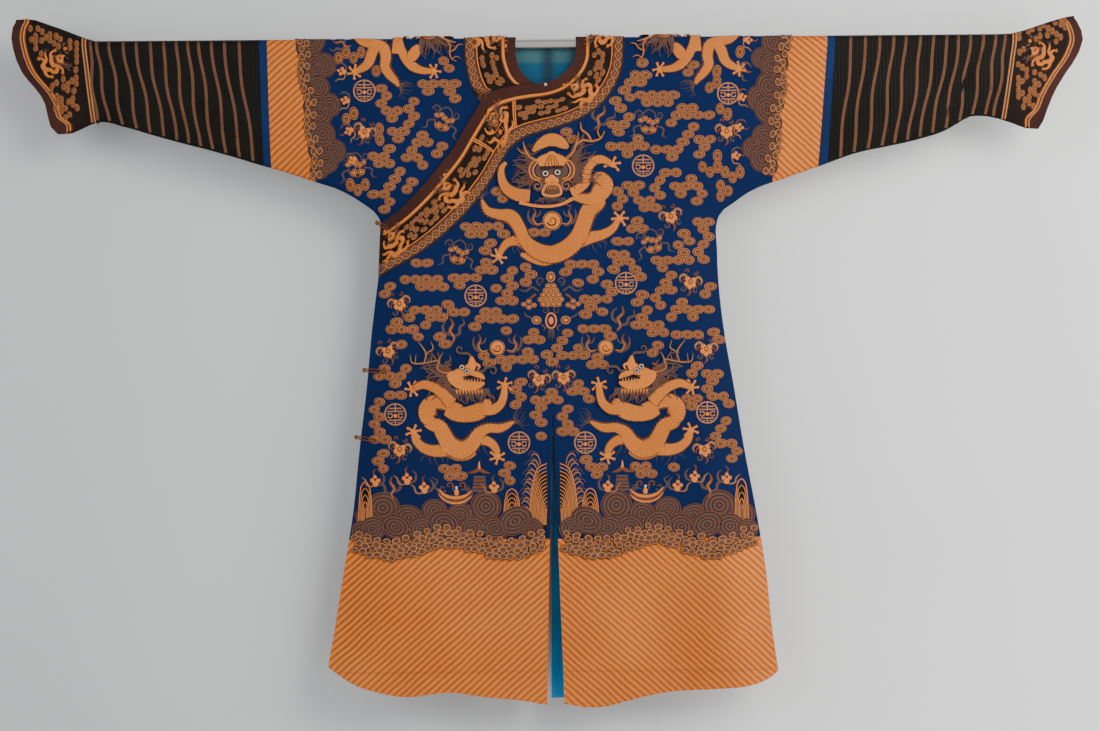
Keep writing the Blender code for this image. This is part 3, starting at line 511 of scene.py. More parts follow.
def overlap_edge(x):
    """Height of the overlap's top edge at x."""
    curve = spline([row[:2] for row in COLLAR_OVER], FINE_STEP)
    curve = curve[curve[:, 0] < COLLAR_OVER[3][0]][::-1]
    return np.interp(x, curve[:, 0], curve[:, 1])


def overlap_lift(x, z, face):
    """How far the overlap, and the left front beside its seam, stand out from the under front."""
    over = np.where(x > SEAM_X, 1.0, z < overlap_edge(x) + UNDER_END_GAP / 2)
    ramp = smooth((0.110 - x) / 0.090) * smooth((-0.020 - z) / 0.045)
    return OVERLAP_LIFT * ramp * over * (face < 0)


def edge_curve(side, inset=0.0):
    """The lower outline of one half, drawn in below the armpit by an inset."""
    curve = spline(of_side(EDGE, side), OUTLINE_STEP)
    drawn = inset * smooth((UNDER_INSET_TOP - curve[:, 1]) / (UNDER_INSET_TOP - UNDER_INSET_FULL))
    curve[:, 0] -= side * drawn
    return curve


def distance(points, path):
    """Distance from each point to the nearest stretch of a path."""
    starts, spans = path[:-1], np.diff(path, axis=0)
    offsets = points[:, None, :] - starts[None]
    share = np.clip((offsets * spans).sum(2) / (spans**2).sum(1), 0.0, 1.0)
    return np.linalg.norm(offsets - share[..., None] * spans, axis=2).min(1)


def far_distance(points, path):
    """Distance to a path for many points, some at a time."""
    return np.concatenate([distance(points[k:k + CHUNK], path) for k in range(0, len(points), CHUNK)])


def creases(x, z, face):
    """Soft wrinkles and dents that the hanging cloth shows."""
    total = np.zeros(np.shape(x))
    for cx, cz, along, across, angle, front, behind in CREASES:
        a = math.radians(angle)
        u = (x - cx) * math.cos(a) + (z - cz) * math.sin(a)
        w = -(x - cx) * math.sin(a) + (z - cz) * math.cos(a)
        height = np.where(face < 0, front, behind)
        total = total + height * np.exp(-((u / along) ** 2) - (w / across) ** 2)
    return total


def drape(points, edge, over=True, rounded=True):
    """Pattern points as points of the hanging cloth's outer face."""
    x, q = points[:, 0], points[:, 1]
    face = np.where(q < 0, FRONT, BACK)
    radius = shoulder_radius(x)
    angle = np.clip(q / FOLD, -1.0, 1.0) * math.pi / 2
    z = shoulder_centre(x) + radius * np.cos(angle) - np.maximum(np.abs(q) - FOLD, 0.0)
    half = radius + fullness(x, z, face)
    wrinkle = creases(x, z, face) * smooth((np.abs(q) - FOLD) / 0.05)
    hung = np.column_stack((x, z))
    gap = both_sides(hung) if edge is None else far_distance(hung, edge)
    rise = np.sin(np.clip((gap - EDGE_RADIUS) / EDGE_TAPER, 0.0, 1.0) * math.pi / 2)
    depth = EDGE_RADIUS + (half - EDGE_RADIUS) * rise
    if rounded:
        turn = np.sqrt(
            np.maximum(EDGE_RADIUS**2 - (EDGE_RADIUS - np.minimum(gap, EDGE_RADIUS)) ** 2, 0.0)
        )
        depth = np.where(gap < EDGE_RADIUS, turn, depth)
    depth = depth + wrinkle * smooth(gap / 0.03)
    if over:
        depth = depth + overlap_lift(x, z, face)
    y = np.where(np.abs(q) < FOLD, radius * np.sin(angle), face * depth)
    return np.column_stack((x, y, z))


def inside(points, outline):
    """Which points lie inside a closed outline."""
    nexts = np.roll(outline, -1, axis=0)
    x, y = points[:, 0:1], points[:, 1:2]
    crosses = (outline[:, 1] > y) != (nexts[:, 1] > y)
    rise = np.where(nexts[:, 1] == outline[:, 1], 1.0, nexts[:, 1] - outline[:, 1])
    at = outline[:, 0] + (y - outline[:, 1]) / rise * (nexts[:, 0] - outline[:, 0])
    return (crosses & (x < at)).sum(1) % 2 == 1


def snapped(outline):
    """An outline whose points close to a bend line of the shoulder are put onto it."""
    made = np.array(outline)
    rows = np.arange(-SHOULDER_STEPS, SHOULDER_STEPS + 1) * FOLD / SHOULDER_STEPS
    nearest = rows[np.abs(made[:, 1:2] - rows).argmin(1)]
    close = np.abs(made[:, 1] - nearest) < ROW_SNAP
    made[close, 1] = nearest[close]
    return made


def shoulder_rows(outline):
    """Lines along the shoulder where the cloth bends over the rod."""
    low, high = outline[:, 0].min() - GRID, outline[:, 0].max() + GRID
    across = np.linspace(low, high, math.ceil((high - low) / GRID))
    rows = []
    for k in range(-SHOULDER_STEPS, SHOULDER_STEPS + 1):
        q = FOLD * k / SHOULDER_STEPS
        if outline[:, 1].min() < q < outline[:, 1].max():
            rows.append(np.column_stack((across, np.full(len(across), q))))
    return rows


def turned_rows(edge, side, faces=(FRONT, BACK)):
    """Lines beside the side seam and the sleeve seam where the cloth turns to the other face."""
    along = np.gradient(edge, axis=0)
    normal = np.column_stack((-along[:, 1], along[:, 0])) / np.linalg.norm(along, axis=1)[:, None]
    rows = []
    for share in (1 - math.cos(math.pi / 4), 1.0):
        row = edge + side * normal * EDGE_RADIUS * share
        first, last = row[0] - (row[1] - row[0]), row[-1] + (row[-1] - row[-2])
        row = np.vstack((first, row, last))
        rows += [flat(row, face) for face in faces]
    return rows


def triangles(outline, lines, clear):
    """Fills an outline with triangles that keep to its lines; returns points and faces."""
    columns = np.arange(math.floor(outline[:, 0].min() / GRID), math.ceil(outline[:, 0].max() / GRID) + 1)
    height = GRID * math.sqrt(3) / 2
    rows = np.arange(
        math.floor(outline[:, 1].min() / height), math.ceil(outline[:, 1].max() / height) + 1
    )
    grid = np.array([((c + 0.5 * (r % 2)) * GRID, r * height) for r in rows for c in columns])
    closed = np.vstack((outline, outline[:1]))
    grid = grid[inside(grid, outline)]
    keep = distance(grid, closed) > clear
    for line in lines:
        keep &= distance(grid, line) > clear
    grid = grid[keep]
    points = [outline] + list(lines) + [grid]
    starts = np.cumsum([0] + [len(part) for part in points])
    edges = []
    for start, line in zip(starts[1:], lines):
        edges += [(int(start + i), int(start + i + 1)) for i in range(len(line) - 1)]
    flat_points = [Vector((float(x), float(y))) for x, y in np.vstack(points)]
    loop = [list(range(len(outline)))]
    made = geometry.delaunay_2d_cdt(flat_points, edges, loop, 0, 1e-7)
    faces = [face for face, owners in zip(made[2], made[5]) if owners]
    return np.array([tuple(point) for point in made[0]]), faces


def cloth(name, outline, lines, colour, edge, wall=WALL, lift=0.0, over=True, rounded=True, clear=CLEAR):
    """One piece of cloth from its pattern: filled, draped, moved out by lift and given its wall."""
    outline = snapped(outline)
    nexts = np.roll(outline, -1, axis=0)
    area = (outline[:, 0] * nexts[:, 1] - outline[:, 1] * nexts[:, 0]).sum() / 2
    if area < 0:
        outline = outline[::-1]
    points, faces = triangles(outline, lines, clear)
    placed_points = drape(points, edge, over, rounded)
    mesh = bpy.data.meshes.new(name)
    mesh.from_pydata([tuple(point) for point in placed_points], [], [tuple(face) for face in faces])
    pattern = mesh.uv_layers.new(name="pattern")
    index = np.empty(len(mesh.loops), int)
    mesh.loops.foreach_get("vertex_index", index)
    pattern.data.foreach_set("uv", points[index].ravel())
    shape = bmesh.new()
    shape.from_mesh(mesh)
    loose = [vert for vert in shape.verts if not vert.link_faces]
    bmesh.ops.delete(shape, geom=loose, context="VERTS")
    bmesh.ops.remove_doubles(shape, verts=shape.verts, dist=0.0001)
    shape.normal_update()
    for vert in shape.verts:
        vert.co += vert.normal * lift
    shape.to_mesh(mesh)
    shape.free()
    for surface in colour:
        mesh.materials.append(surface)
    obj = new_piece(
        name + "_cloth", mesh, SLOTS[name.split("_")[0] if name.split("_")[0] in SLOTS else name]
    )
    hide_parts(name)
    thick = obj.modifiers.new("wall", "SOLIDIFY")
    thick.thickness = wall
    thick.offset = 1.0 if lift > 0 else -1.0
    thick.use_even_offset = True
    thick.material_offset = len(colour) - 1
    solid_cloth(obj)
    sizes[obj.name] = (abs(area), outline)
    return obj


def across(side, row, shift):
    """The line round the sleeve at a row of EDGE, from the seam in front over the shoulder to behind."""
    end = of_side(EDGE, side)[row]
    top = side * SHOULDER_ENDS[row][0 if side == RIGHT else 1]
    down = np.linspace(1.0, 0.0, 6)
    front = np.column_stack((top + (end[0] - top) * down, end[1] * down))
    front = flat(front, FRONT)
    centre = np.array([(top, 0.0)])
    line = np.vstack((front, centre, (front * (1, -1))[::-1]))
    line[:, 0] += shift * side
    return line


def body_part(edge, side):
    """The stretch of an edge curve from the hem corner to the piping."""
    stop = of_side(EDGE, side)[BODY_END]
    return edge[:int(np.argmin(np.linalg.norm(edge - stop, axis=1))) + 1]


def band(edge, side, inner, outer):
    """The pattern of a tube round the arm between two lines that run front to back."""
    low, high = sorted((abs(inner[0][0]), abs(outer[0][0])))
    reach = np.abs(edge[:, 0])
    between = edge[
        (reach > low + CORNER_CLEAR) & (reach < high - CORNER_CLEAR) & (edge[:, 1] > ARM_BELOW)
    ]
    return np.vstack((flat(between, FRONT), outer, flat(between, BACK)[::-1], inner[::-1]))


def on_edge(line, edge):
    """A line whose two ends are put back onto the seam after a sideways shift."""
    line = np.array(line)
    arm = edge[edge[:, 1] > ARM_BELOW]
    z = np.interp(abs(line[0, 0]), np.abs(arm[:, 0]), arm[:, 1])
    ends = np.array([(line[0, 0], z)])
    line[0] = flat(ends, FRONT)[0]
    line[-1] = flat(ends, BACK)[0]
    return line


def mouth(edge, side, shift):
    """The cuff's open edge drawn in along the arm, from the seam in front over the top to behind."""
    front = spline(of_side(CUFF_MOUTH, side), 0.03)
    corner = side * (CUFF_CORNER[0 if side == RIGHT else 1] - shift)
    if shift:
        front[:, 0] -= side * shift
        arm = edge[edge[:, 1] > ARM_BELOW]
        foot = np.interp(abs(front[0, 0]), np.abs(arm[:, 0]), arm[:, 1])
        upper = front[front[:, 1] > foot + SEAM_SQUARE + CORNER_CLEAR]
        front = np.vstack(([front[0, 0], foot], [front[0, 0], foot + SEAM_SQUARE], upper))
    front = flat(front, FRONT)
    fold_rows = [(corner, FOLD * k / SHOULDER_STEPS) for k in range(1 - SHOULDER_STEPS, SHOULDER_STEPS)]
    return np.vstack((front, fold_rows, (front * (1, -1))[::-1]))


def straight(start, stop, step):
    """Points about one step apart on a straight line."""
    count = math.ceil(math.dist(start, stop) / step)
    return np.linspace(start, stop, count + 1)


def hem(table, low, high, rise=0.0):
    """Points of a hem between two x, from low to high."""
    xs, zs = spline(table, 0.01).T
    inner = np.linspace(low, high, max(3, math.ceil(abs(high - low) / OUTLINE_STEP) + 1))
    return np.column_stack((inner, np.interp(inner, xs, zs) + rise))


def upright(column, bottom, shift=0.0, top=VENT_TOP):
    """An edge of the vent, from its top down to a hem height; column picks the row of VENT."""
    heights = [row[0] for row in VENT][::-1]
    places = [row[column] for row in VENT][::-1]
    z = np.linspace(top, bottom, math.ceil((top - bottom) / 0.10) + 1)
    return np.column_stack((np.interp(z, heights, places) + shift, z))


def seam(top, x, face):
    """The centre seam from a height down to just above the vent."""
    z = np.linspace(top, VENT_TOP, 9)[:-1]
    return flat(np.column_stack((np.full(len(z), x), z)), face)


def neck_front(limit):
    """The neck edge in front from the left shoulder to the seam."""
    curve = spline([(row[0], row[1]) for row in COLLAR_OVER], COLLAR_STEP)
    return curve[curve[:, 0] > limit + CORNER_CLEAR]


def build_body_left():
    """Left front, left back and upper sleeve in one cut, without a shoulder seam."""
    edge = edge_curve(LEFT)
    x = SEAM_X + SEAM_GAP / 2
    front_hem = hem(FRONT_HEM, VENT[-1][1] - SEAM_GAP, EDGE[0][2])
    back_hem = hem(BACK_HEM, VENT[-1][3], EDGE[0][2])
    body_edge = body_part(edge, LEFT)
    end = across(LEFT, BODY_END, 0.0)
    back_neck = spline([row[:2] for row in COLLAR_BACK], COLLAR_STEP)
    back_neck = back_neck[back_neck[:, 0] > x + CORNER_CLEAR]
    outline = np.vstack((
        flat(front_hem[:-1], FRONT),
        flat(body_edge[:-1], FRONT),
        end,
        flat(body_edge[:-1], BACK)[::-1],
        flat(back_hem[1:-1], BACK)[::-1],
        flat(upright(3, back_hem[0, 1], SEAM_GAP / 2), BACK)[::-1],
        seam(BACK_NECK_Z, x, BACK)[::-1],
        back_neck,
        flat(neck_front(x), FRONT),
        seam(overlap_edge(x), x, FRONT),
        flat(upright(1, front_hem[0, 1], SEAM_GAP / 2)[:-1], FRONT),
    ))
    lines = shoulder_rows(outline) + turned_rows(body_edge, LEFT)
    return cloth("body_left", outline, lines, blue_silk, edge)


def build_body_right():
    """Right back, under front and upper sleeve in one cut."""
    edge = edge_curve(RIGHT, UNDER_INSET)
    x = SEAM_X - SEAM_GAP / 2
    body_edge = body_part(edge, RIGHT)
    end = across(RIGHT, BODY_END, 0.0)
    front_hem = hem(FRONT_HEM, body_edge[0, 0], UNDER_EDGE[-1][1], UNDER_HEM_RISE)
    front_hem[0] = body_edge[0]
    back_hem = hem(BACK_HEM, body_edge[0, 0], VENT[-1][4])
    heights, places = zip(*UNDER_EDGE[::-1])
    free_z = straight(front_hem[-1], (UNDER_FRONT_X, UNDER_EDGE[0][0]), OUTLINE_STEP)[1:, 1]
    free = np.column_stack((np.interp(free_z, heights, places), free_z))
    under_neck = spline([(row[0], row[1]) for row in COLLAR_UNDER], COLLAR_STEP)
    back_neck = spline([row[:2] for row in COLLAR_BACK], COLLAR_STEP)
    back_neck = back_neck[back_neck[:, 0] < x - CORNER_CLEAR]
    outline = np.vstack((
        flat(front_hem, FRONT),
        flat(free, FRONT),
        flat(under_neck, FRONT),
        back_neck,
        seam(BACK_NECK_Z, x, BACK),
        flat(upright(4, back_hem[-1, 1], -SEAM_GAP / 2), BACK),
        flat(back_hem[1:-1], BACK)[::-1],
        flat(body_edge[:-1], BACK),
        end[::-1],
        flat(body_edge[1:-1], FRONT)[::-1],
    ))
    lines = shoulder_rows(outline) + turned_rows(body_edge, RIGHT)
    return cloth("body_right", outline, lines, blue_silk, edge, over=False)


def build_overlap():
    """The overlap that crosses to the wearer's right side, from the centre seam to its free edge."""
    edge = edge_curve(RIGHT)
    x = SEAM_X - SEAM_GAP / 2
    side = edge[edge[:, 1] < COLLAR_OVER[-1][1] - 2 * CORNER_CLEAR]
    side = np.vstack((side, [COLLAR_OVER[-1][:2]]))
    top = spline([(row[0], row[1]) for row in COLLAR_OVER], COLLAR_STEP)
    top = top[top[:, 0] < x - CORNER_CLEAR][::-1]
    bottom = hem(FRONT_HEM, side[0, 0], VENT[-1][2])
    outline = np.vstack((
        flat(bottom[:-1], FRONT),
        flat(upright(2, bottom[-1, 1], -SEAM_GAP / 2), FRONT)[::-1],
        seam(overlap_edge(x), x, FRONT)[::-1],
        flat(top[::-1], FRONT),
        flat(side[1:-1], FRONT)[::-1],
    ))
    shares = (BINDING_SHARE, BAND_SHARE, 1.0)
    lines = [spline(flat(mixed(COLLAR_OVER[2:], share), FRONT), COLLAR_STEP) for share in shares]
    return cloth("front_overlap", outline, lines, blue_silk, edge, rounded=False)


def build_lining(side):
    """The lining of one back, which shows inside the neck and through the vent."""
    inset = UNDER_INSET if side == RIGHT else 0.0
    edge = edge_curve(side, inset)
    x = SEAM_X + side * SEAM_GAP / 2
    reach = side * LINING_HALF_WIDTH
    column = 3 if side == LEFT else 4
    vent_x = VENT[-1][column] + side * LINING_VENT_INSET
    bottom = hem(BACK_HEM, vent_x, reach, LINING_HEM_RISE)
    sides = straight((reach, bottom[-1, 1]), (reach, LINING_TOP), LINING_STEP)
    top = straight((reach, LINING_TOP), (x, LINING_TOP), LINING_STEP)
    centre = straight((x, LINING_TOP), (x, VENT_TOP), LINING_STEP)
    outline = np.vstack((
        flat(bottom, BACK),
        flat(sides[1:-1], BACK),
        flat(top, BACK),
        flat(centre[1:-1], BACK),
        flat(upright(column, bottom[0, 1], side * LINING_VENT_INSET)[:-1], BACK),
    ))
    name = "lining_left" if side == LEFT else "lining_right"
    return cloth(name, outline, [], teal_silk, edge, wall=LINING_WALL, lift=-LINING_DROP)


def build_sleeve_parts(side):
    """The piping, the ribbed lower sleeve, the hoof cuff and its binding."""
    edge = edge_curve(side)
    word = "left" if side == LEFT else "right"
    gap = SEAM_GAP
    body_end = on_edge(across(side, BODY_END, gap), edge)
    piping_end = across(side, PIPING_END, 0.0)
    sleeve_start = on_edge(across(side, PIPING_END, gap), edge)
    sleeve_end = across(side, SLEEVE_END, 0.0)
    cuff_start = on_edge(across(side, SLEEVE_END, gap), edge)
    cuff_end = mouth(edge, side, CUFF_BINDING_WIDTH + 2 * gap)
    binding_start = mouth(edge, side, CUFF_BINDING_WIDTH)
    mouth_line = mouth(edge, side, 0.0)
    made = []
    pieces = (
        ("piping_" + word, body_end, piping_end, piping_silk),
        ("sleeve_" + word, sleeve_start, sleeve_end, sleeve_silk),
        ("cuff_" + word, cuff_start, cuff_end, black_silk),
        ("cuff_binding_" + word, binding_start, mouth_line, brown_silk),
    )
    for name, inner, outer, colour in pieces:
        outline = band(edge, side, inner, outer)
        reach = np.abs(edge[:, 0])
        reached = (reach > abs(inner[0, 0]) - COLLAR_STEP) & (reach < abs(outer[0, 0]) + COLLAR_STEP)
        near = edge[reached & (edge[:, 1] > ARM_BELOW)]
        lines = shoulder_rows(outline) + turned_rows(near, side)
        made.append(cloth(name, outline, lines, colour, edge))
    return made


def mixed(rows, share):
    """Points at a share of the way between the two edges that a table of the collar gives."""
    return [(row[0] + share * (row[2] - row[0]), row[1] + share * (row[3] - row[1])) for row in rows]


def collar_side(share):
    """One line along the whole collar, at a share of its width, from its under end to the side."""
    end_x = UNDER_END_X[0] + share * (UNDER_END_X[1] - UNDER_END_X[0])
    end = [(end_x, float(overlap_edge(end_x)) + UNDER_END_GAP)]
    under = flat(end + mixed(COLLAR_UNDER, share), FRONT)
    over = flat(mixed(COLLAR_OVER, share), FRONT)
    return spline(np.vstack((under, mixed(COLLAR_BACK, share), over)), COLLAR_STEP)


def build_collar():
    """The neck binding, the black band and its ribbon edging, side by side round the neck."""
    edge = edge_curve(RIGHT)
    outer_edge = np.vstack((edge_curve(LEFT)[::-1], edge))
    half = SEAM_GAP / 2 / COLLAR_WIDTH
    made = []
    pieces = (
        ("neck_binding", 0.0, BINDING_SHARE - half, brown_silk),
        ("collar_band", BINDING_SHARE + half, BAND_SHARE - half, black_silk),
        ("collar_edging", BAND_SHARE + half, 1.0, gold_ribbon),
    )
    for name, low, high, colour in pieces:
        shares = np.linspace(low, high, 4)
        near, far = collar_side(low), collar_side(high)
        start = np.array([collar_side(share)[0] for share in shares[1:-1]])
        stop = np.array([collar_side(share)[-1] for share in shares[1:-1]])
        outline = np.vstack((near, stop, far[::-1], start[::-1]))
        lines = shoulder_rows(outline)
        made.append(
            cloth(
                name, outline, lines, colour, outer_edge, TRIM_WALL, TRIM_LIFT, rounded=False,
                clear=TRIM_CLEAR
            )
        )
    return made


def both_sides(points):
    """Distance from each hanging point to the lower outline of its half."""
    found = np.empty(len(points))
    for side, half in ((LEFT, points[:, 0] > 0), (RIGHT, points[:, 0] <= 0)):
        chosen = np.flatnonzero(half)
        for start in range(0, len(chosen), CHUNK):
            part = chosen[start:start + CHUNK]
            found[part] = distance(points[part], SEAMS[side])
    return found


class Needlework:
    """Couched thread, gathered over the cloth's pattern and then laid on the cloth as one mesh.

    A place is x and v. v is the height in front, and goes on over the shoulder line and down behind.
    """

    def __init__(self, name, threads, lift=STITCH_LIFT, mapping=None):
        """Starts an empty work with its threads, its lift off the cloth and its own way onto it."""
        self.name, self.threads, self.lift, self.mapping = name, threads, lift, mapping
        self.points, self.marks, self.quads, self.corners = [], [], [], []
        self.quad_inks, self.corner_inks = [], []
        self.count = 0
        self.rise = 0.0

    def add(self, points, marks, quads, quad_inks, corners=(), corner_inks=()):
        """Adds points, their thread marks and the faces over them, each with its ink."""
        self.points.append(points + (0.0, 0.0, self.rise))
        self.marks.append(marks)
        self.quads.append(np.asarray(quads, int).reshape(-1, 4) + self.count)
        self.quad_inks.append(quad_inks)
        self.corners.append(np.asarray(corners, int).reshape(-1, 3) + self.count)
        self.corner_inks.append(corner_inks)
        self.count += len(points)

    def ribbon(self, rows, ink, height=THREAD_HEIGHT, base=0.0, lanes=3, step=0.004):
        """A raised strip along x, v and width."""
        line = spline(rows, step)
        along = np.gradient(line[:, :2], axis=0)
        length = np.maximum(np.linalg.norm(along, axis=1), 1e-9)
        normal = np.column_stack((-along[:, 1], along[:, 0])) / length[:, None]
        across = np.linspace(-1.0, 1.0, lanes)
        offset = line[:, 2, None] / 2 * across
        rise = base + height * np.sqrt(1.0 - across**2)
        x = line[:, 0, None] + normal[:, 0, None] * offset
        v = line[:, 1, None] + normal[:, 1, None] * offset
        run = np.broadcast_to(np.cumsum(length)[:, None], x.shape)
        points = np.stack((x, v, np.broadcast_to(rise, x.shape)), axis=2).reshape(-1, 3)
        marks = np.stack((offset, run), axis=2).reshape(-1, 2)
        first = (np.arange(len(line) - 1)[:, None] * lanes + np.arange(lanes - 1)).ravel()
        quads = np.column_stack((first + 1, first, first + lanes, first + lanes + 1))
        self.add(points, marks, quads, np.full(len(quads), ink))

    def stamp(self, motif, x, v, wide, high, turn=0.0, base=0.0):
        """A round motif of half width and half height, turned by degrees."""
        verts, quads, quad_inks, corners, corner_inks = motif
        angle = math.radians(turn)
        u, w = verts[:, 0] * wide, verts[:, 1] * high
        points = np.column_stack((
            x + u * math.cos(angle) - w * math.sin(angle),
            v + u * math.sin(angle) + w * math.cos(angle),
            verts[:, 2] + base,
        ))
        self.add(points, np.column_stack((u, w)), quads, quad_inks, corners, corner_inks)

    def lay(self, slot):
        """Drapes everything that was gathered and makes the piece."""
        points, marks = np.vstack(self.points), np.vstack(self.marks)
        place = self.mapping(points[:, :2]) if self.mapping else points[:, :2]
        x, q = place[:, 0], place[:, 1] - FOLD - shoulder_centre(place[:, 0])
        hung = drape(np.column_stack((x, q)), None)
        angle = np.clip(q / FOLD, -1.0, 1.0) * math.pi / 2
        out = np.column_stack((np.zeros(len(x)), np.sin(angle), np.cos(angle)))
        hung = hung + out * (self.lift + points[:, 2])[:, None]
        quads, corners = np.vstack(self.quads), np.vstack(self.corners)
        loops = np.concatenate((quads.ravel(), corners.ravel()))
        starts = np.concatenate((np.arange(len(quads)) * 4, len(quads) * 4 + np.arange(len(corners)) * 3))
        inks = np.concatenate([np.asarray(a, int) for a in self.quad_inks + self.corner_inks])
        mesh = bpy.data.meshes.new(self.name)
        mesh.vertices.add(len(hung))
        mesh.vertices.foreach_set("co", hung.ravel())
        mesh.loops.add(len(loops))
        mesh.loops.foreach_set("vertex_index", loops)
        mesh.polygons.add(len(starts))
        mesh.polygons.foreach_set("loop_start", starts)
        mesh.polygons.foreach_set("material_index", inks)
        for thread in self.threads:
            mesh.materials.append(thread)
        mesh.update(calc_edges=True)
        threads = mesh.uv_layers.new(name="threads")
        threads.data.foreach_set("uv", marks[loops].ravel())
        mesh.shade_smooth()
        mesh.validate()
        return new_piece(self.name, mesh, slot)


def round_motif(rows, segments, last):
    """A raised rosette of radius 1 from bands, each an inner radius, its height and its thread."""
    shape = bmesh.new()
    bmesh.ops.create_circle(shape, cap_ends=True, radius=1.0, segments=segments)
    face = shape.faces[:][0]
    radius = 1.0
    for inner, rise, ink in rows:
        made = bmesh.ops.inset_region(
            shape, faces=[face], thickness=(radius - inner) * math.cos(math.pi / segments),
            depth=0.0, use_even_offset=True, use_boundary=True,
        )
        for side in made["faces"]:
            side.material_index = ink
        for vert in face.verts:
            vert.co.z = rise
        radius = inner
    face.material_index = last
    bmesh.ops.poke(shape, faces=[face])
    shape.verts.index_update()
    verts = np.array([vert.co for vert in shape.verts])
    quads = [face for face in shape.faces if len(face.verts) == 4]
    corners = [face for face in shape.faces if len(face.verts) == 3]
    made = (
        verts,
        np.array([[vert.index for vert in face.verts] for face in quads]),
        np.array([face.material_index for face in quads]),
        np.array([[vert.index for vert in face.verts] for face in corners]),
        np.array([face.material_index for face in corners]),
    )
    shape.free()
    return made


def new_piece(name, mesh, slot):
    """An object for a mesh, riding on the root. The slot is not used."""
    obj = bpy.data.objects.new(name, mesh)
    bpy.context.scene.collection.objects.link(obj)
    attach(obj, "root")
    return obj


def placed(rows, spot):
    """Rows of millimetres x, height and width as metres at a spot: x, v, scale, turn in degrees, flip."""
    x, v, scale, turn, flip = spot
    rows = np.array(rows, float) * MM * scale
    angle = math.radians(turn)
    u = rows[:, 0] * flip
    made = rows.copy()
    made[:, 0] = x + u * math.cos(angle) - rows[:, 1] * math.sin(angle)
    made[:, 1] = v + u * math.sin(angle) + rows[:, 1] * math.cos(angle)
    return made


def strand(work, spot, rows, ink, height=THREAD_HEIGHT, base=0.0, lanes=3, step=3.0):
    """A strip drawn in a motif's own millimetres."""
    work.ribbon(placed(rows, spot), ink, height, base, lanes, step * MM * max(spot[2], 0.4))


def dot(work, spot, motif, x, y, wide, high=None, turn=0.0, base=0.0):
    """A round motif in another motif's own millimetres."""
    place = placed([(x, y, 1.0)], spot)[0]
    scale = spot[2] * MM
    high = wide if high is None else high
    work.stamp(motif, place[0], place[1], wide * scale, high * scale, turn * spot[4] + spot[3], base)


def limb(work, spot, rows, base, scaled=True):
    """A couched limb with its dusk coloured outline, which shows on the limbs below it."""
    rows = np.array(rows, float)
    share = 0.35 + 0.65 * spot[2]
    wide = rows.copy()
    wide[:, 2] += 3.6
    strand(work, spot, wide, DUSK, 0.0003 * share, base * share + 0.0001)
    wide[:, 2] -= 1.8
    strand(work, spot, wide, DARK, 0.0003 * share, base * share + 0.0002)
    strand(work, spot, rows, SCALES if scaled else GOLD, 0.0008 * share, base * share + 0.0004, 7)


def fringe(work, spot, rows, side, length, pitch, ink, base):
    """Short points that stand off one side of a path."""
    line = spline(rows, pitch)
    along = np.gradient(line[:, :2], axis=0)
    along /= np.maximum(np.linalg.norm(along, axis=1), 1e-9)[:, None]
    normal = np.column_stack((-along[:, 1], along[:, 0])) * side
    for point, ahead, out in list(zip(line, along, normal))[1:-1]:
        foot = point[:2] + out * (point[2] / 2 - 1.0)
        tip = foot + out * length + ahead * length * 0.5
        middle = foot + out * length * 0.5 + ahead * length * 0.1
        strand(work, spot, [(*foot, 3.4), (*middle, 2.6), (*tip, 0.5)], ink, 0.0005, base)


def claw(work, spot, x, y, heading, size):
    """A palm with five short toes that end in knobs."""
    for angle in (-112, -56, 0, 52, 104):
        turn = math.radians(heading + angle)
        ways = ((0.3, 1.3), (2.0, 1.35), (3.6, 1.0), (4.7, 1.0), (5.4, 1.6), (6.1, 0.5))
        bend = 0.22 if angle > 0 else -0.22
        rows = []
        for reach, wide in ways:
            aim = turn + bend * (reach / 6.1) ** 2
            rows.append(
                (
                    x + math.cos(aim) * reach * size * 0.8, y + math.sin(aim) * reach * size * 0.8,
                    wide * size
                )
            )
        strand(work, spot, [(a, b, wide + 2.2) for a, b, wide in rows], DUSK, 0.0002, 0.0005)
        strand(work, spot, rows, GOLD, 0.0009, 0.0013)
    dot(work, spot, PALM, x, y, size * 1.7, size * 1.5, base=0.0014)


def curl(x, y, radius, start, turns, width, sense=1):
    """Rows of a spiral that winds inwards from a start angle in degrees."""
    rows = []
    for t in np.linspace(0.0, 1.0, max(6, int(10 * turns))):
        angle = math.radians(start) + sense * t * turns * 2 * math.pi
        reach = radius * (1.0 - 0.82 * t)
        rows.append((x + reach * math.cos(angle), y + reach * math.sin(angle), width * (1.0 - 0.5 * t)))
    return rows


def strands(work, spot, foot, sweep, reach, count, ink, width=3.0, bend=0.25, base=0.0002):
    """A fan of waving hairs between two headings from points on a foot line."""
    for k in range(count):
        share = k / max(1, count - 1)
        x = foot[0] + (foot[2] - foot[0]) * share
        y = foot[1] + (foot[3] - foot[1]) * share
        angle = math.radians(sweep[0] + (sweep[1] - sweep[0]) * share)
        far = reach * (1.0 if k % 2 else 0.8)
        rows = []
        for t in (0.0, 0.35, 0.7, 1.0):
            aim = angle + bend * math.sin(t * 5.0 + k)
            rows.append(
                (x + math.cos(aim) * far * t, y + math.sin(aim) * far * t, width * (1.0 - 0.75 * t))
            )
        strand(work, spot, rows, ink, 0.0005, base)


def pearl(work, spot, x, y, radius):
    """A flaming pearl with a spiral on it."""
    dot(work, spot, PEARL, x, y, radius, base=0.0006)
    strand(work, spot, curl(x, y, radius * 0.55, 200, 1.2, radius * 0.16), DARK, 0.0005, 0.0017)


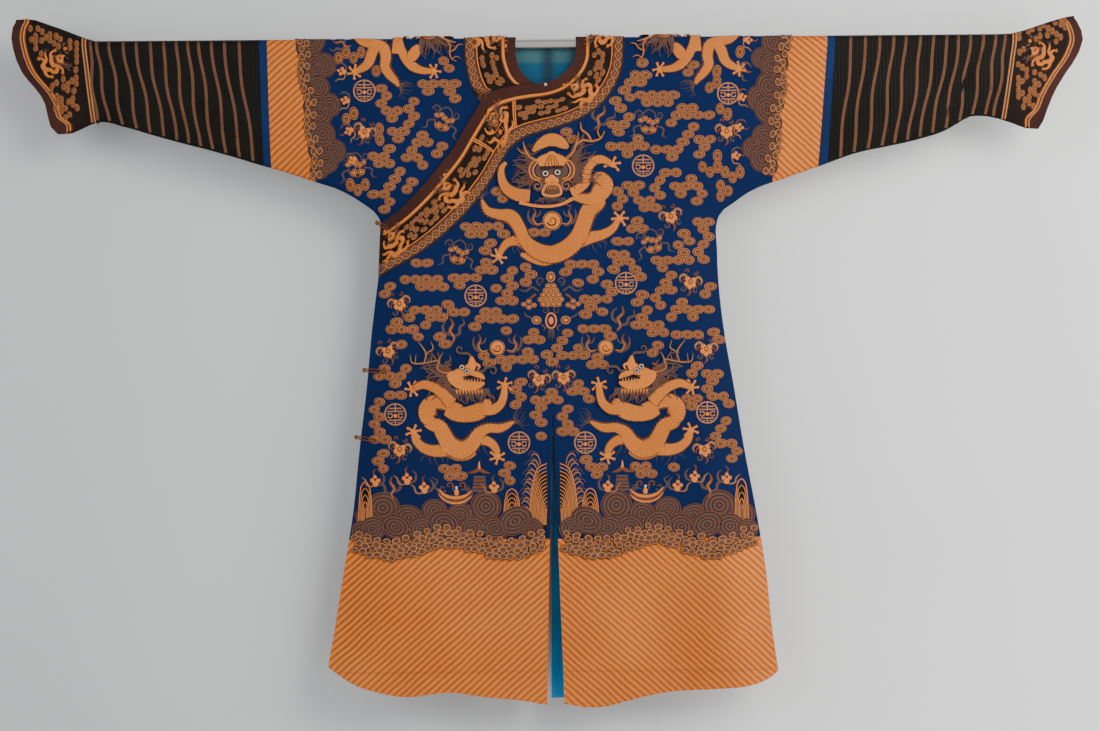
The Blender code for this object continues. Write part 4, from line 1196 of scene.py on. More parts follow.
def flames(work, spot, x, y):
    """Flames at both sides of a pearl."""
    for flip in (-1, 1):
        for rows, ink in (
            ([(18, -4, 3), (30, -8, 6), (39, 5, 6), (33, 18, 4), (38, 28, 1)], COPPER),
            ([(28, -8, 3), (42, -3, 5), (48, 13, 4), (45, 24, 1)], DUSK),
            ([(34, 8, 3), (26, 12, 4), (22, 22, 1)], DUSK),
            ([(20, -5, 1.5), (31, -6, 2), (37, 5, 2), (32, 16, 1)], PALE),
        ):
            strand(
                work, spot, [(x + flip * u, y + w, wide) for u, w, wide in rows], ink, 0.0005,
                0.0009 if ink == PALE else 0.0004
            )


def front_head(work, spot):
    """A dragon's head seen from the front."""
    strands(work, spot, (-36, 20, -38, -22), (140, 205), 44, 16, DUSK, 6.0)
    strands(work, spot, (40, 30, 42, -20), (72, -10), 58, 18, DUSK, 6.0, 0.18)
    strands(work, spot, (-36, 18, -38, -20), (144, 200), 38, 9, COPPER, 2.2, base=0.0008)
    strands(work, spot, (40, 26, 42, -18), (68, -6), 48, 10, COPPER, 2.2, 0.18, 0.0008)
    strands(work, spot, (-34, 34, -16, 46), (150, 110), 26, 7, DUSK, 3.4)
    left = (
        [(-30, 22, 8), (-44, 30, 8), (-52, 44, 6), (-57, 60, 2)],
        [(-48, 36, 5), (-60, 38, 4), (-68, 48, 1)]
    )
    right = (
        [(30, 26, 9), (42, 38, 8), (50, 58, 6), (54, 78, 2)],
        [(48, 52, 6), (62, 62, 6), (80, 60, 6), (98, 66, 5), (106, 80, 2)],
        [(80, 60, 5), (72, 74, 6), (60, 84, 5), (58, 98, 2)],
        [(98, 66, 4), (92, 80, 4), (98, 92, 1)],
    )
    for rows in left + right:
        strand(work, spot, rows, COPPER, 0.0009, 0.0008)
        strand(work, spot, [(x, y, w * 0.4) for x, y, w in rows], PALE, 0.0004, 0.0016)
    limb(
        work, spot, [(-37, 41, 5), (-24, 53, 17), (-4, 63, 24), (10, 62, 24), (24, 54, 18), (33, 47, 6)],
        0.0006
    )
    for flip in (-1, 1):
        strand(work, spot, curl(flip * 29, -28, 14, 90, 1.3, 4.4, flip), DUSK, 0.0006, 0.0008)
        strand(work, spot, curl(flip * 29, -28, 10, 90, 1.1, 2.2, flip), PALE, 0.0006, 0.0010)
        strand(
            work, spot,
            [(flip * 12, -22, 5), (flip * 26, -14, 6), (flip * 40, -22, 4), (flip * 46, -34, 1.5)],
            COPPER, 0.0006, 0.0012
        )
        rows = (
            (flip * 20, 22, 6), (flip * 34, 18, 13), (flip * 41, 4, 13), (flip * 36, -11, 11),
            (flip * 23, -17, 6)
        )
        strand(work, spot, rows, DUSK, 0.0006, 0.0012)
        for out in (0.90, 1.0, 1.10):
            strand(
                work, spot, [(x * out, y * out, 2.2) for x, y, wide in rows],
                COPPER if out == 1.0 else GOLD, 0.0005, 0.0018
            )
    strand(
        work, spot, [(0, 12, 60), (0, 0, 66), (0, -14, 50), (0, -28, 34), (0, -48, 30)], DUSK, 0.0003,
        0.0006, 5
    )
    limb(work, spot, [(0, 40, 8), (0, 33, 24), (0, 26, 40), (0, 18, 52), (0, 11, 50)], 0.0010, False)
    limb(work, spot, [(-30, 20, 8), (-18, 26, 12), (0, 30, 14), (18, 26, 12), (30, 20, 8)], 0.0012, False)
    for k in range(5):
        strand(
            work, spot, [(-14 + 7 * k, 12, 2.0), (-9 + 4.4 * k, 24, 1.8), (-4 + 2 * k, 34, 1.0)], COPPER,
            0.0003, 0.0024
        )
    for x, y in ((-12.5, -4), (11.5, -2)):
        dot(work, spot, EYE, x, y, 8.0, 7.0, base=0.0024)
        for k in range(6):
            strand(
                work, spot, [(x - 9 + 3.6 * k, y + 8, 2.6), (x - 10 + 4.1 * k, y + 15, 1.0)], DARK,
                0.0004, 0.0028
            )
    for x, y, wide in ((-8, -18, 6), (8, -18, 6), (0, -14, 8)):
        dot(work, spot, PALM, x, y, wide, base=0.0020)
    for x in (-4, 4):
        dot(work, spot, PALM, x, -18, 1.6, base=0.0030)
    strand(
        work, spot,
        [
            (-13, -27, 5), (0, -25, 5), (13, -27, 5), (18, -44, 5), (0, -49, 5), (-18, -44, 5),
            (-13, -27, 5)
        ],
        GOLD, 0.0009, 0.0018
    )
    strand(work, spot, [(-9, -36, 12), (0, -36, 14), (9, -36, 12)], COPPER, 0.0004, 0.0012)
    for k in range(5):
        strand(work, spot, [(-9 + 4.5 * k, -30, 2.6), (-9 + 4.5 * k, -36, 1)], PALE, 0.0005, 0.0020)
    for k in range(9):
        x = -36 + 9 * k
        strand(
            work, spot, curl(x, -60 + 9 * math.cos(k * 0.8 - 3.2) + 4, 6.5, 180, 0.5, 3.0, 1), DUSK,
            0.0006, 0.0010
        )
    strand(
        work, spot, [(-65, -61, 7), (-40, -67, 6), (-8, -69.5, 6), (20, -65, 6), (42, -54, 7)], GOLD,
        0.0010, 0.0012
    )
    strands(work, spot, (-24, -52, 24, -52), (-130, -50), 15, 15, DUSK, 3.2)


def side_head(work, spot):
    """A dragon's head seen from the side, with its snout up and to the right."""
    strands(work, spot, (-32, 14, -26, -26), (150, 200), 58, 17, DUSK, 7.0)
    strands(work, spot, (-30, 10, -26, -24), (152, 196), 50, 9, COPPER, 2.6, base=0.0008)
    strands(work, spot, (-34, -28, 46, -28), (-116, -70), 32, 24, DUSK, 6.0)
    strands(work, spot, (-30, -30, 42, -30), (-112, -74), 26, 12, COPPER, 2.2, base=0.0008)
    antler = [
        (-24, 4, 8), (-42, 4, 7), (-54, 12, 6.5), (-50, 27, 6), (-68, 25, 6), (-88, 22, 6), (-104, 24, 5),
        (-108, 40, 1.5)
    ]
    forks = (
        [(-52, 20, 5), (-48, 34, 5), (-42, 44, 1.5)],
        [(-80, 24, 5), (-76, 42, 6), (-84, 56, 5), (-92, 66, 1.5)],
        [(-76, 42, 5), (-62, 52, 5), (-66, 66, 1.5)], [(-98, 24, 4), (-96, 40, 1.5)],
        [(-66, 26, 4), (-64, 36, 1.5)],
    )
    for rows in (antler,) + forks:
        strand(work, spot, [(x, y, w * 0.8) for x, y, w in rows], DUSK, 0.0008, 0.0008)
        strand(work, spot, [(x, y, w * 0.28) for x, y, w in rows], PALE, 0.0004, 0.0015)
    for x, y in ((-30, 12), (-24, -12), (-38, -2)):
        strand(work, spot, curl(x, y, 8, 60, 0.9, 5, 1), COPPER, 0.0007, 0.0010)
    limb(
        work, spot,
        [(-30, 4, 12), (-22, -6, 24), (-8, -16, 26), (10, -22, 20), (26, -22, 15), (40, -17, 5)], 0.0010,
        False
    )
    limb(
        work, spot, [(-20, 2, 12), (-4, 5, 18), (8, 9, 20), (15, 18, 17), (15, 28, 11), (14, 36, 3)],
        0.0014, False
    )
    limb(work, spot, [(12, 2, 6), (24, 0, 11), (34, -4, 9), (40, -10, 3)], 0.0012, False)
    strand(work, spot, [(-2, -9, 4), (12, -9, 7), (26, -11, 6), (38, -14, 2)], DARK, 0.0003, 0.0024)
    for k in range(6):
        strand(work, spot, [(2 + 6 * k, -16, 3.8), (3 + 6 * k, -8, 1.0)], PALE, 0.0006, 0.0026)
    for k in range(9):
        x = -16 + 6.2 * k
        strand(work, spot, [(x, -31, 4.6), (x + 1.5, -40, 1.0)], GOLD, 0.0006, 0.0012)
    dot(work, spot, EYE, -4.6, 14, 6.4, base=0.0026)
    dot(work, spot, EYE, 5, 6, 6.2, base=0.0028)
    strand(
        work, spot, [(15, 32, 4), (8, 41, 5), (-4, 42, 5)] + curl(-8, 50, 9, -60, 1.0, 4.8, -1), DUSK,
        0.0007, 0.0012
    )
    strand(
        work, spot, [(24, 8, 5), (36, 5, 5), (46, 14, 5)] + curl(56, 6, 10, 130, 1.0, 4.8, -1), DUSK,
        0.0007, 0.0012
    )
    strand(work, spot, [(20, 22, 5), (30, 16, 5), (26, 8, 1.5)], GOLD, 0.0006, 0.0022)


def dragon(work, spot, table, head):
    """A dragon from its table of limbs, the far ones first."""
    for name, base in LIMB_ORDER:
        if name in table:
            rows = table[name]
            if name in ("coil", "body"):
                fringe(work, spot, rows, FIN_SIDE[head], 5.5, 6.5, COPPER, base + 0.0001)
            if name.startswith("leg"):
                foot = rows[1]
                strands(
                    work, spot, (foot[0] - 5, foot[1], foot[0] + 9, foot[1]), (-160, -20), 32, 7, DUSK
                )
            limb(work, spot, rows, base)
    tip = table["body"][-1]
    strands(work, spot, (tip[0], tip[1] - 3, tip[0], tip[1] + 3), TAIL_SWEEP[head], 30, 7, DUSK, 2.6)
    for x, y, heading, size in table["claws"]:
        claw(work, spot, x, y, heading, size)
    x, y = table["head"][0]
    work.rise = HEAD_RISE * (0.35 + 0.65 * spot[2])
    (side_head if head == "side" else front_head)(work, inner_spot(spot, x, y))
    work.rise = 0.0
    for x, y in table.get("pearl", ()):
        flames(work, spot, x, y)
        pearl(work, spot, x, y, 19.0 if head == "front" else 15.5)


def inner_spot(spot, x, y, scale=1.0):
    """The spot of a motif inside another one."""
    place = placed([(x, y, 1.0)], spot)[0]
    return (place[0], place[1], spot[2] * scale, spot[3], spot[4])


def shoulder_dragon(work, spot):
    """A dragon that lies across the shoulder line, with a leg and an arm on each side of it."""
    x, v, scale, turn, flip = spot
    for mirror in (1, -1):
        for name, base in (("leg", 0.0010), ("arm", 0.0020), ("lump", 0.0028)):
            rows = [(row[0], row[1] * mirror, row[2]) for row in SHOULDER_DRAGON[name]]
            limb(work, spot, rows, base)
        for cx, cy, heading, size in SHOULDER_DRAGON["claws"]:
            claw(work, spot, cx, cy * mirror, heading * mirror, size)
    fringe(work, spot, SHOULDER_DRAGON["body"], 1, 5.5, 6.5, COPPER, 0.0005)
    limb(work, spot, SHOULDER_DRAGON["body"], 0.0006)
    strands(work, spot, (8, -99, 12, -93), (-80, 10), 28, 7, DUSK, 2.6)
    px, py = SHOULDER_DRAGON["head"][0]
    place = placed([(px, py, 1.0)], spot)[0]
    work.rise = HEAD_RISE
    front_head(work, (place[0], place[1], scale * 0.72, turn - 90 * flip, flip))
    work.rise = 0.0


def medallion(work, spot):
    """A round fretwork badge, the same on both sides of its middle."""
    ring = [(21 * math.cos(a), 21 * math.sin(a), 2.6) for a in np.linspace(0, 2 * math.pi, 25)]
    strand(work, spot, ring, PALE, 0.0007, 0.0002)
    strand(work, spot, [(0, 20, 2.4), (0, 4, 2.4)], PALE, 0.0007, 0.0003)
    strand(work, spot, [(0, -12, 2.4), (0, -20, 2.4)], PALE, 0.0007, 0.0003)
    for y, reach in ((12, 13), (6, 17), (-11.5, 13)):
        strand(work, spot, [(-reach, y, 2.4), (reach, y, 2.4)], PALE, 0.0007, 0.0003)
    for flip in (-1, 1):
        hook = [
            (flip * 16, 1, 2.2), (flip * 7, 1, 2.2), (flip * 7, -6, 2.2), (flip * 14, -6, 2.2),
            (flip * 14, -2.5, 2.0)
        ]
        strand(work, spot, hook, PALE, 0.0007, 0.0003, step=2.0)
        strand(work, spot, [(flip * 4, -15.5, 2.0), (flip * 9, -17, 2.0)], PALE, 0.0006, 0.0003)
    dot(work, spot, BEAD, 0, -3, 4.0, base=0.0002)


def basket(work, spot):
    """A flower basket with its ribbons."""
    for k in range(5):
        dot(work, spot, BUD, -16 + 8 * k, 8 + 4 * math.sin(k * 1.6), 6.0, 5.0, 20 * k)
    for flip in (-1, 1):
        strand(work, spot, curl(flip * 20, 20, 9, 200, 1.2, 2.8, flip), DUSK)
        strand(
            work, spot,
            [(flip * 18, -2, 3), (flip * 30, -8, 3.4), (flip * 28, -20, 3), (flip * 38, -26, 1)], DUSK
        )
    strand(work, spot, [(-17, 0, 3), (-12, -14, 3.4), (0, -18, 3.4), (12, -14, 3.4), (17, 0, 3)], COPPER)
    strand(work, spot, [(-9, -2, 3), (0, -6, 4), (9, -2, 3)], COPPER)
    dot(work, spot, BUD, -7, -10, 7, 6, base=0.0006)
    dot(work, spot, BUD, 8, -10, 7, 6, base=0.0006)
    strand(work, spot, [(-14, 4, 2), (-10, 24, 2.4), (0, 30, 2.4), (10, 24, 2.4), (14, 4, 2)], DUSK)


def bat(work, spot):
    """A small bat like a gold flower, with scalloped wings and curled ribbons."""
    for flip in (-1, 1):
        strand(
            work, spot, [(flip * 5, 8, 7), (flip * 15, 14, 8), (flip * 23, 8, 5), (flip * 20, -1, 2)],
            DUSK, base=0.0001
        )
        strand(
            work, spot,
            [(flip * 7, 9, 2.4), (flip * 15, 15, 2.6), (flip * 22, 9, 2.2), (flip * 20, 0, 1)], PALE,
            base=0.0007
        )
        strand(
            work, spot, [(flip * 6, 2, 2.4), (flip * 15, 6, 2.6), (flip * 17, -3, 1.4)], COPPER,
            base=0.0005
        )
        strand(work, spot, curl(flip * 13, -13, 7, 60, 1.0, 3.6, flip), DUSK)
        strand(work, spot, curl(flip * 9, 23, 5, 200, 0.9, 2.8, flip), COPPER)
        dot(work, spot, BEAD, flip * 7, -2, 5.2, base=0.0008)
        dot(work, spot, BEAD, flip * 6, 7, 5.2, base=0.0008)
    dot(work, spot, BEAD, 0, -7, 5.2, base=0.0009)
    dot(work, spot, BUD, 0, 3, 6.0, 7.0, base=0.0014)
    strand(work, spot, [(0, -11, 4), (3, -19, 4), (-3, -27, 1)], COPPER, base=0.0004)


def flame(work, spot):
    """A forked flame."""
    for rows, ink in (
        ([(-4, -28, 1.5), (3, -15, 6), (-5, -2, 7), (4, 11, 6), (0, 25, 1.5)], COPPER),
        ([(-2, -9, 4), (-15, -3, 6), (-17, 10, 5), (-9, 20, 1.5)], DUSK),
        ([(1, -13, 4), (14, -9, 6), (17, 4, 6), (26, 9, 4), (24, 21, 1.5)], DUSK),
        ([(-3, -24, 1), (2, -14, 2), (-4, -2, 2.2), (3, 10, 2)], PALE),
    ):
        strand(work, spot, rows, ink, base=0.0004 if ink == PALE else 0.0)


def canopy(work, spot):
    """A tiered canopy with tassels, over the middle of the front."""
    dot(work, spot, BUD, 0, 62, 9, 11, base=0.0006)
    for count, y in ((2, 44), (3, 35), (4, 26), (5, 17), (4, 8)):
        for k in range(count):
            dot(work, spot, BUD, (k - (count - 1) / 2) * 10, y, 6.4, 5.6, base=0.0003 + (k % 2) * 0.0003)
    for flip in (-1, 1):
        strand(work, spot, curl(flip * 20, 54, 9, -90, 1.2, 3.0, flip), DUSK)
        strand(
            work, spot, [(flip * 24, 34, 3), (flip * 38, 42, 4), (flip * 50, 34, 4), (flip * 64, 38, 1)],
            DUSK
        )
        strand(work, spot, [(flip * 30, 28, 5), (flip * 40, 20, 4), (flip * 42, 8, 2)], COPPER)
        for x, y in ((34, 6), (44, 14), (54, 8), (44, 2)):
            dot(work, spot, BUD, flip * x, y, 5.6, 5.0)
        dot(work, spot, BUD, flip * 29, -24, 10, 8.5, base=0.0003)
        strand(work, spot, [(flip * 20, -32, 3), (flip * 12, -40, 3), (flip * 16, -46, 1)], DUSK)
        strand(work, spot, [(flip * 38, -20, 3), (flip * 50, -14, 3), (flip * 54, -8, 1)], DUSK)
        strand(work, spot, curl(flip * 12, -4, 8, 90, 1.1, 2.6, flip), DUSK)
    strand(
        work, spot,
        [(10 * math.cos(a), -25 + 15 * math.sin(a), 3.2) for a in np.linspace(0, 2 * math.pi, 15)], GOLD
    )
    dot(work, spot, BEAD, 0, -25, 5, 8)
    for x in (-6, -2, 2, 6):
        strand(work, spot, [(x * 0.7, -42, 2.4), (x, -60, 1.6)], DUSK)


class Value:
    """A shader socket with arithmetic."""

    def __init__(self, shader, socket):
        """Keeps a socket with the shader it belongs to."""
        self.shader, self.socket = shader, socket

    def math(self, kind, *others, clamp=False):
        """One step of shader maths with this value first."""
        made = self.shader.tree.nodes.new("ShaderNodeMath")
        made.operation = kind
        made.use_clamp = clamp
        for socket, value in zip(made.inputs, (self,) + others):
            self.shader.feed(socket, value)
        return Value(self.shader, made.outputs[0])

    def __add__(self, other):
        """This value and another one added."""
        return self.math("ADD", other)

    def __sub__(self, other):
        """Another value taken from this one."""
        return self.math("SUBTRACT", other)

    def __mul__(self, other):
        """This value times another one."""
        return self.math("MULTIPLY", other)

    def __truediv__(self, other):
        """This value shared by another one."""
        return self.math("DIVIDE", other)

    def size(self):
        """The value without its sign."""
        return self.math("ABSOLUTE")

    def part(self):
        """What is left after the whole number is taken off."""
        return self.math("FRACT")

    def sine(self):
        """The value's sine."""
        return self.math("SINE")

    def over(self, limit, soft):
        """0 below a limit and 1 above it, with a soft step."""
        return ((self - limit) / soft).math("ADD", 0.5, clamp=True)


class Shader:
    """The node tree of one material."""

    def __init__(self, name):
        """Makes a material with one surface."""
        self.material = bpy.data.materials.new(name)
        self.material.use_nodes = True
        self.tree = self.material.node_tree
        self.surface = self.tree.nodes["Principled BSDF"]

    def feed(self, socket, value):
        """Joins a value to a socket, or sets the socket's constant."""
        if isinstance(value, Value):
            self.tree.links.new(value.socket, socket)
        else:
            socket.default_value = value

    def node(self, kind, feeds=(), output=0, **settings):
        """Adds a node, feeds its sockets and gives its first output."""
        made = self.tree.nodes.new("ShaderNode" + kind)
        for key, value in settings.items():
            setattr(made, key, value)
        for key, value in dict(feeds).items():
            self.feed(made.inputs[key], value)
        return Value(self, made.outputs[output])

    def marks(self, layer):
        """The two coordinates of a UV map."""
        both = self.node("UVMap", uv_map=layer)
        split = self.tree.nodes.new("ShaderNodeSeparateXYZ")
        self.feed(split.inputs[0], both)
        return Value(self, split.outputs[0]), Value(self, split.outputs[1]), both

    def place(self):
        """Where a point is on its piece."""
        return self.node("TexCoord", output=3)

    def noise(self, where, scale, detail=2.0, roughness=0.5):
        """Soft noise at a place."""
        return self.node(
            "TexNoise", {"Vector": where, "Scale": scale, "Detail": detail, "Roughness": roughness}
        )

    def mix(self, share, one, two):
        """A colour between two others."""
        return self.node("Mix", {0: share, 6: one, 7: two}, 2, data_type="RGBA")

    def bump(self, height, distance, strength=1.0):
        """A normal that a height tilts."""
        return self.node("Bump", {"Height": height, "Distance": distance, "Strength": strength})

    def finish(self, colour, roughness, metallic=0.0, normal=None, **constants):
        """Feeds the surface and gives the material."""
        self.feed(self.surface.inputs["Base Color"], colour)
        self.feed(self.surface.inputs["Roughness"], roughness)
        self.feed(self.surface.inputs["Metallic"], metallic)
        if normal is not None:
            self.feed(self.surface.inputs["Normal"], normal)
        for key, value in constants.items():
            self.surface.inputs[key.replace("_", " ")].default_value = value
        return self.material


def rgb(red, green, blue):
    """A colour from 0 to 255 in the picture's values, as the shader takes it."""
    made = []
    for part in (red, green, blue):
        share = part / 255
        made.append(share / 12.92 if share <= 0.04045 else ((share + 0.055) / 1.055) ** 2.4)
    return (*made, 1.0)


def weave(shader, u, v, pitch):
    """A fine woven height from 0 to 1."""
    turn = 2 * math.pi / pitch
    return (u * turn).sine() * (v * turn).sine() * 0.5 + 0.5


def stripes(shader, u, depth, both):
    """Height, painted shade line in the groove between rows and painted highlight line along each row's
    crest, for diagonal rows of couched gold.
    """
    wave = shader.noise(both, 14.0, 1.0) * 0.006
    run = (u.size() * math.sin(STRIPE_ANGLE) - depth * math.cos(STRIPE_ANGLE) + wave) / STRIPE_PITCH
    turn = (run + 100.0).part()
    # Painted shade: dark where the rows dip between each other.
    dark = ((turn - 0.5).size() * -1.0 + 0.5).over(0.085, -0.06)
    # Painted highlight: bright along the middle of each row, where its height is greatest.
    crest_highlight = (turn - 0.5).size().over(0.09, -0.06)
    return (turn * math.pi).sine(), dark, crest_highlight


def robe_silk():
    """Blue satin with couched gold bands at the hem and the sleeve ends."""
    shader = Shader("blue satin with gold bands")
    u, q, both = shader.marks("pattern")
    depth = q.size() - FOLD
    drift = shader.noise(both, 2.3, 2.0)
    grain = shader.noise(both, 900.0, 1.0)
    cloth = shader.mix(drift, rgb(2, 18, 52), rgb(4, 26, 74))
    cloth = shader.mix(grain * 0.35, cloth, rgb(10, 36, 80))
    ridge, dark, crest_highlight = stripes(shader, u, depth, both)
    patch = shader.noise(both, 5.0, 3.0, 0.6)
    fine = shader.noise(both, 420.0, 2.0)
    gold = shader.mix(patch.over(0.5, 0.4), rgb(186, 96, 34), rgb(208, 112, 44))
    # The gold rows get a painted highlight on their crests and painted shade in the grooves between them.
    gold = shader.mix(crest_highlight * 0.65, gold, rgb(242, 148, 74))
    gold = shader.mix(dark * 0.85, gold, rgb(112, 50, 12))
    gold = shader.mix(fine.over(0.62, 0.1) * 0.35, gold, rgb(244, 160, 88))
    gold = shader.mix(fine.over(0.40, -0.1) * 0.35, gold, rgb(122, 60, 18))
    stitched = (depth - (q * 0.0) - HEM_STITCH).size().over(0.0011, -0.0008)
    gold = shader.mix(stitched * 0.4, gold, rgb(118, 66, 34))
    band = depth.over(HEM_BAND, 0.001)
    reach = u.size() + depth * 0.11
    right = u.over(0.0, 0.01)
    limit = right * (SLEEVE_BAND[0] - SLEEVE_BAND[1]) + SLEEVE_BAND[1]
    band = band.math("MAXIMUM", (reach - limit).over(0.0, 0.001) * depth.over(0.35, -0.01))
    colour = shader.mix(band, cloth, gold)
    height = weave(shader, u, q, 0.0011) * 0.12
    height = height + band * (ridge * 1.0 + fine * 0.25 - weave(shader, u, q, 0.0011) * 0.12)
    normal = shader.bump(height, 0.0011, 0.7)
    roughness = band * -0.14 + 0.62 + grain * 0.05
    return shader.finish(colour, roughness, band * 0.30, normal, Specular_IOR_Level=0.10)


def plain_silk(name, dark, light, pitch, rough=0.55, ribs=0.0, spec=0.10):
    """Woven silk in one colour with a slow change of tone, with ribs across it if asked."""
    shader = Shader(name)
    u, q, both = shader.marks("pattern")
    drift = shader.noise(both, 6.0, 3.0, 0.6)
    colour = shader.mix(drift.over(0.5, 0.35), rgb(*dark), rgb(*light))
    height = weave(shader, u, q, pitch) * 0.3
    if ribs:
        rib = (u * (2 * math.pi / ribs)).sine() * 0.5 + 0.5
        height = height + rib
        colour = shader.mix(rib * 0.35, colour, rgb(*[part * 0.45 for part in dark]))
    grain = shader.noise(both, 700.0, 1.0)
    colour = shader.mix(
        grain.over(0.6, 0.1) * 0.3, colour, rgb(*[min(255, part * 1.35 + 6) for part in light])
    )
    normal = shader.bump(height, 0.0006, 0.5)
    return shader.finish(colour, rough, 0.0, normal, Specular_IOR_Level=spec)


def lining_silk():
    """Teal lining with a soft shine, lightened as painted light where it hangs in shade, with painted
    shade in a band at the neck.
    """
    shader = Shader("teal lining silk")
    u, q, both = shader.marks("pattern")
    drift = shader.noise(both, 7.0, 3.0, 0.6)
    # Painted light: this teal is lighter than the lining's own, to make up for the shade it hangs in.
    colour = shader.mix(drift.over(0.5, 0.4), rgb(24, 136, 182), rgb(40, 160, 212))
    depth = q.size() - FOLD
    # Painted shade at the neck: the top 0.2 m darker, darker still within about 12 mm of the middle; a
    # greyer band along the very top.
    seam = u.size().over(0.012, -0.016) * 0.7
    colour = shader.mix(depth.over(0.20, -0.10) * 0.88, colour, rgb(14, 60, 84))
    colour = shader.mix(depth.over(0.036, -0.006) * 0.75, colour, rgb(58, 96, 98))
    colour = shader.mix(seam * depth.over(0.20, -0.10), colour, rgb(6, 28, 44))
    height = weave(shader, u, q, 0.0011) * 0.2 + drift * 2.0
    return shader.finish(colour, 0.5, 0.0, shader.bump(height, 0.0008, 0.5), Specular_IOR_Level=0.2)


def ribbon_silk():
    """The ground of the patterned ribbon edging."""
    shader = Shader("brocade ribbon")
    u, q, both = shader.marks("pattern")
    spots = shader.noise(both, 260.0, 2.0, 0.7)
    colour = shader.mix(spots.over(0.5, 0.25), rgb(50, 24, 10), rgb(104, 56, 26))
    height = weave(shader, u, q, 0.0009)
    return shader.finish(colour, 0.5, 0.1, shader.bump(height, 0.0006, 0.6))


def thread(name, colour, shade, light, pitch=0.0011, metallic=0.3, rough=0.42, scales=False):
    """Couched thread that runs along its strip, with small changes from stitch to stitch, a painted
    highlight along each thread's crest and painted shade between the threads.
    """
    shader = Shader(name)
    across, along, both = shader.marks("threads")
    wander = shader.noise(both, 160.0, 1.0)
    row = ((across + wander * 0.0007) * (2 * math.pi / pitch)).sine() * 0.5 + 0.5
    stitch = shader.noise(both, 520.0, 2.0, 0.6)
    tone = shader.mix(stitch.over(0.5, 0.4), rgb(*shade), rgb(*colour))
    # Painted highlight: the lit copy on the crest of each thread. Painted shade: the darker tone in the
    # grooves between threads.
    tone = shader.mix(row.over(0.78, 0.3) * 0.6, tone, rgb(*light))
    tone = shader.mix(row.over(0.16, -0.2) * 0.5, tone, rgb(*shade))
    height = row * 0.6 + stitch * 0.5
    if scales:
        lane = along / SCALE_PITCH
        beside = (across / SCALE_PITCH + lane.math("FLOOR") * 0.5 + 50.0).part() - 0.5
        ahead = lane.part()
        reach = (ahead * ahead + beside * beside).math("SQRT")
        rim = (reach - 0.58).size().over(0.10, -0.09)
        tone = shader.mix(rim * 0.62, tone, rgb(*[part * 0.72 for part in shade]))
        height = height + reach * -1.6
    normal = shader.bump(height, 0.0007, 0.8)
    return shader.finish(tone, rough, metallic, normal, Specular_IOR_Level=0.15 + metallic * 0.5)


def metal(name, colour, rough, grain):
    """Metal with fine lengthwise grain and faint marks."""
    shader = Shader(name)
    where = shader.place()
    stretched = shader.node("Mapping", {"Vector": where, "Scale": grain})
    fine = shader.noise(stretched, 60.0, 3.0)
    smudge = shader.noise(where, 9.0, 3.0)
    tone = shader.mix(fine * 0.3, rgb(*colour), rgb(*[part * 0.82 for part in colour]))
    return shader.finish(tone, smudge * 0.16 + rough, 1.0, shader.bump(fine, 0.0002, 0.3))


def paint(name, left, right, rough):
    """The studio's wall and floor, with painted light that makes them lighter to the right, and clear
    from behind.
    """
    shader = Shader(name)
    where = shader.place()
    split = shader.tree.nodes.new("ShaderNodeSeparateXYZ")
    shader.feed(split.inputs[0], where)
    # Painted light: the left colour turns into the lighter right one, a painted pool of light on the
    # right.
    tone = shader.mix(Value(shader, split.outputs[0]).over(0.1, 2.2), rgb(*left), rgb(*right))
    mottled = shader.noise(where, 1.3, 2.0)
    tone = shader.mix(mottled * 0.4, tone, rgb(*[part * 0.96 for part in left]))
    grain = shader.noise(where, 340.0, 2.0)
    backwards = shader.tree.nodes.new("ShaderNodeNewGeometry").outputs["Backfacing"]
    ahead = Value(shader, backwards) * -1.0 + 1.0
    shader.feed(shader.surface.inputs["Alpha"], ahead)
    return shader.finish(tone, rough, 0.0, shader.bump(grain, 0.0006, 0.3), Specular_IOR_Level=0.2)


def solid_cloth(obj):
    """Applies the wall and marks its rims as sharp."""
    graph = bpy.context.evaluated_depsgraph_get()
    mesh = bpy.data.meshes.new_from_object(obj.evaluated_get(graph), depsgraph=graph)
    obj.modifiers.clear()
    old, obj.data = obj.data, mesh
    bpy.data.meshes.remove(old)
    mesh.name = obj.name
    mesh.shade_smooth()
    mesh.set_sharp_from_angle(angle=math.radians(50))


def collar_grid():
    """Pattern points of the collar on a grid of knots and shares, with its length along the middle."""
    shares = np.linspace(-0.12, 1.12, 32)
    lines = []
    for share in shares:
        end_x = UNDER_END_X[0] + share * (UNDER_END_X[1] - UNDER_END_X[0])
        end = [(end_x, float(overlap_edge(end_x)) + UNDER_END_GAP)]
        rows = flat(end + mixed(COLLAR_UNDER, share), FRONT)
        rows = np.vstack((rows, mixed(COLLAR_BACK, share), flat(mixed(COLLAR_OVER, share), FRONT)))
        lines.append(even_spline(rows, 8))
    grid = np.array(lines)
    middle = grid[len(shares) // 2]
    run = np.concatenate(([0.0], np.cumsum(np.linalg.norm(np.diff(middle, axis=0), axis=1))))
    return shares, grid, run


def even_spline(points, count):
    """A smooth curve with the same number of points on each stretch between knots."""
    knots = np.array(points, float)
    along = np.concatenate(([0.0], np.cumsum(np.linalg.norm(np.diff(knots, axis=0), axis=1))))
    slopes = np.gradient(knots, along, axis=0)
    made = []
    for i in range(len(knots) - 1):
        span = along[i + 1] - along[i]
        for t in np.arange(count) / count:
            made.append(
                (2 * t**3 - 3 * t**2 + 1) * knots[i]
                + (t**3 - 2 * t**2 + t) * span * slopes[i]
                + (3 * t**2 - 2 * t**3) * knots[i + 1]
                + (t**3 - t**2) * span * slopes[i + 1]
            )
    made.append(knots[-1])
    return np.array(made)


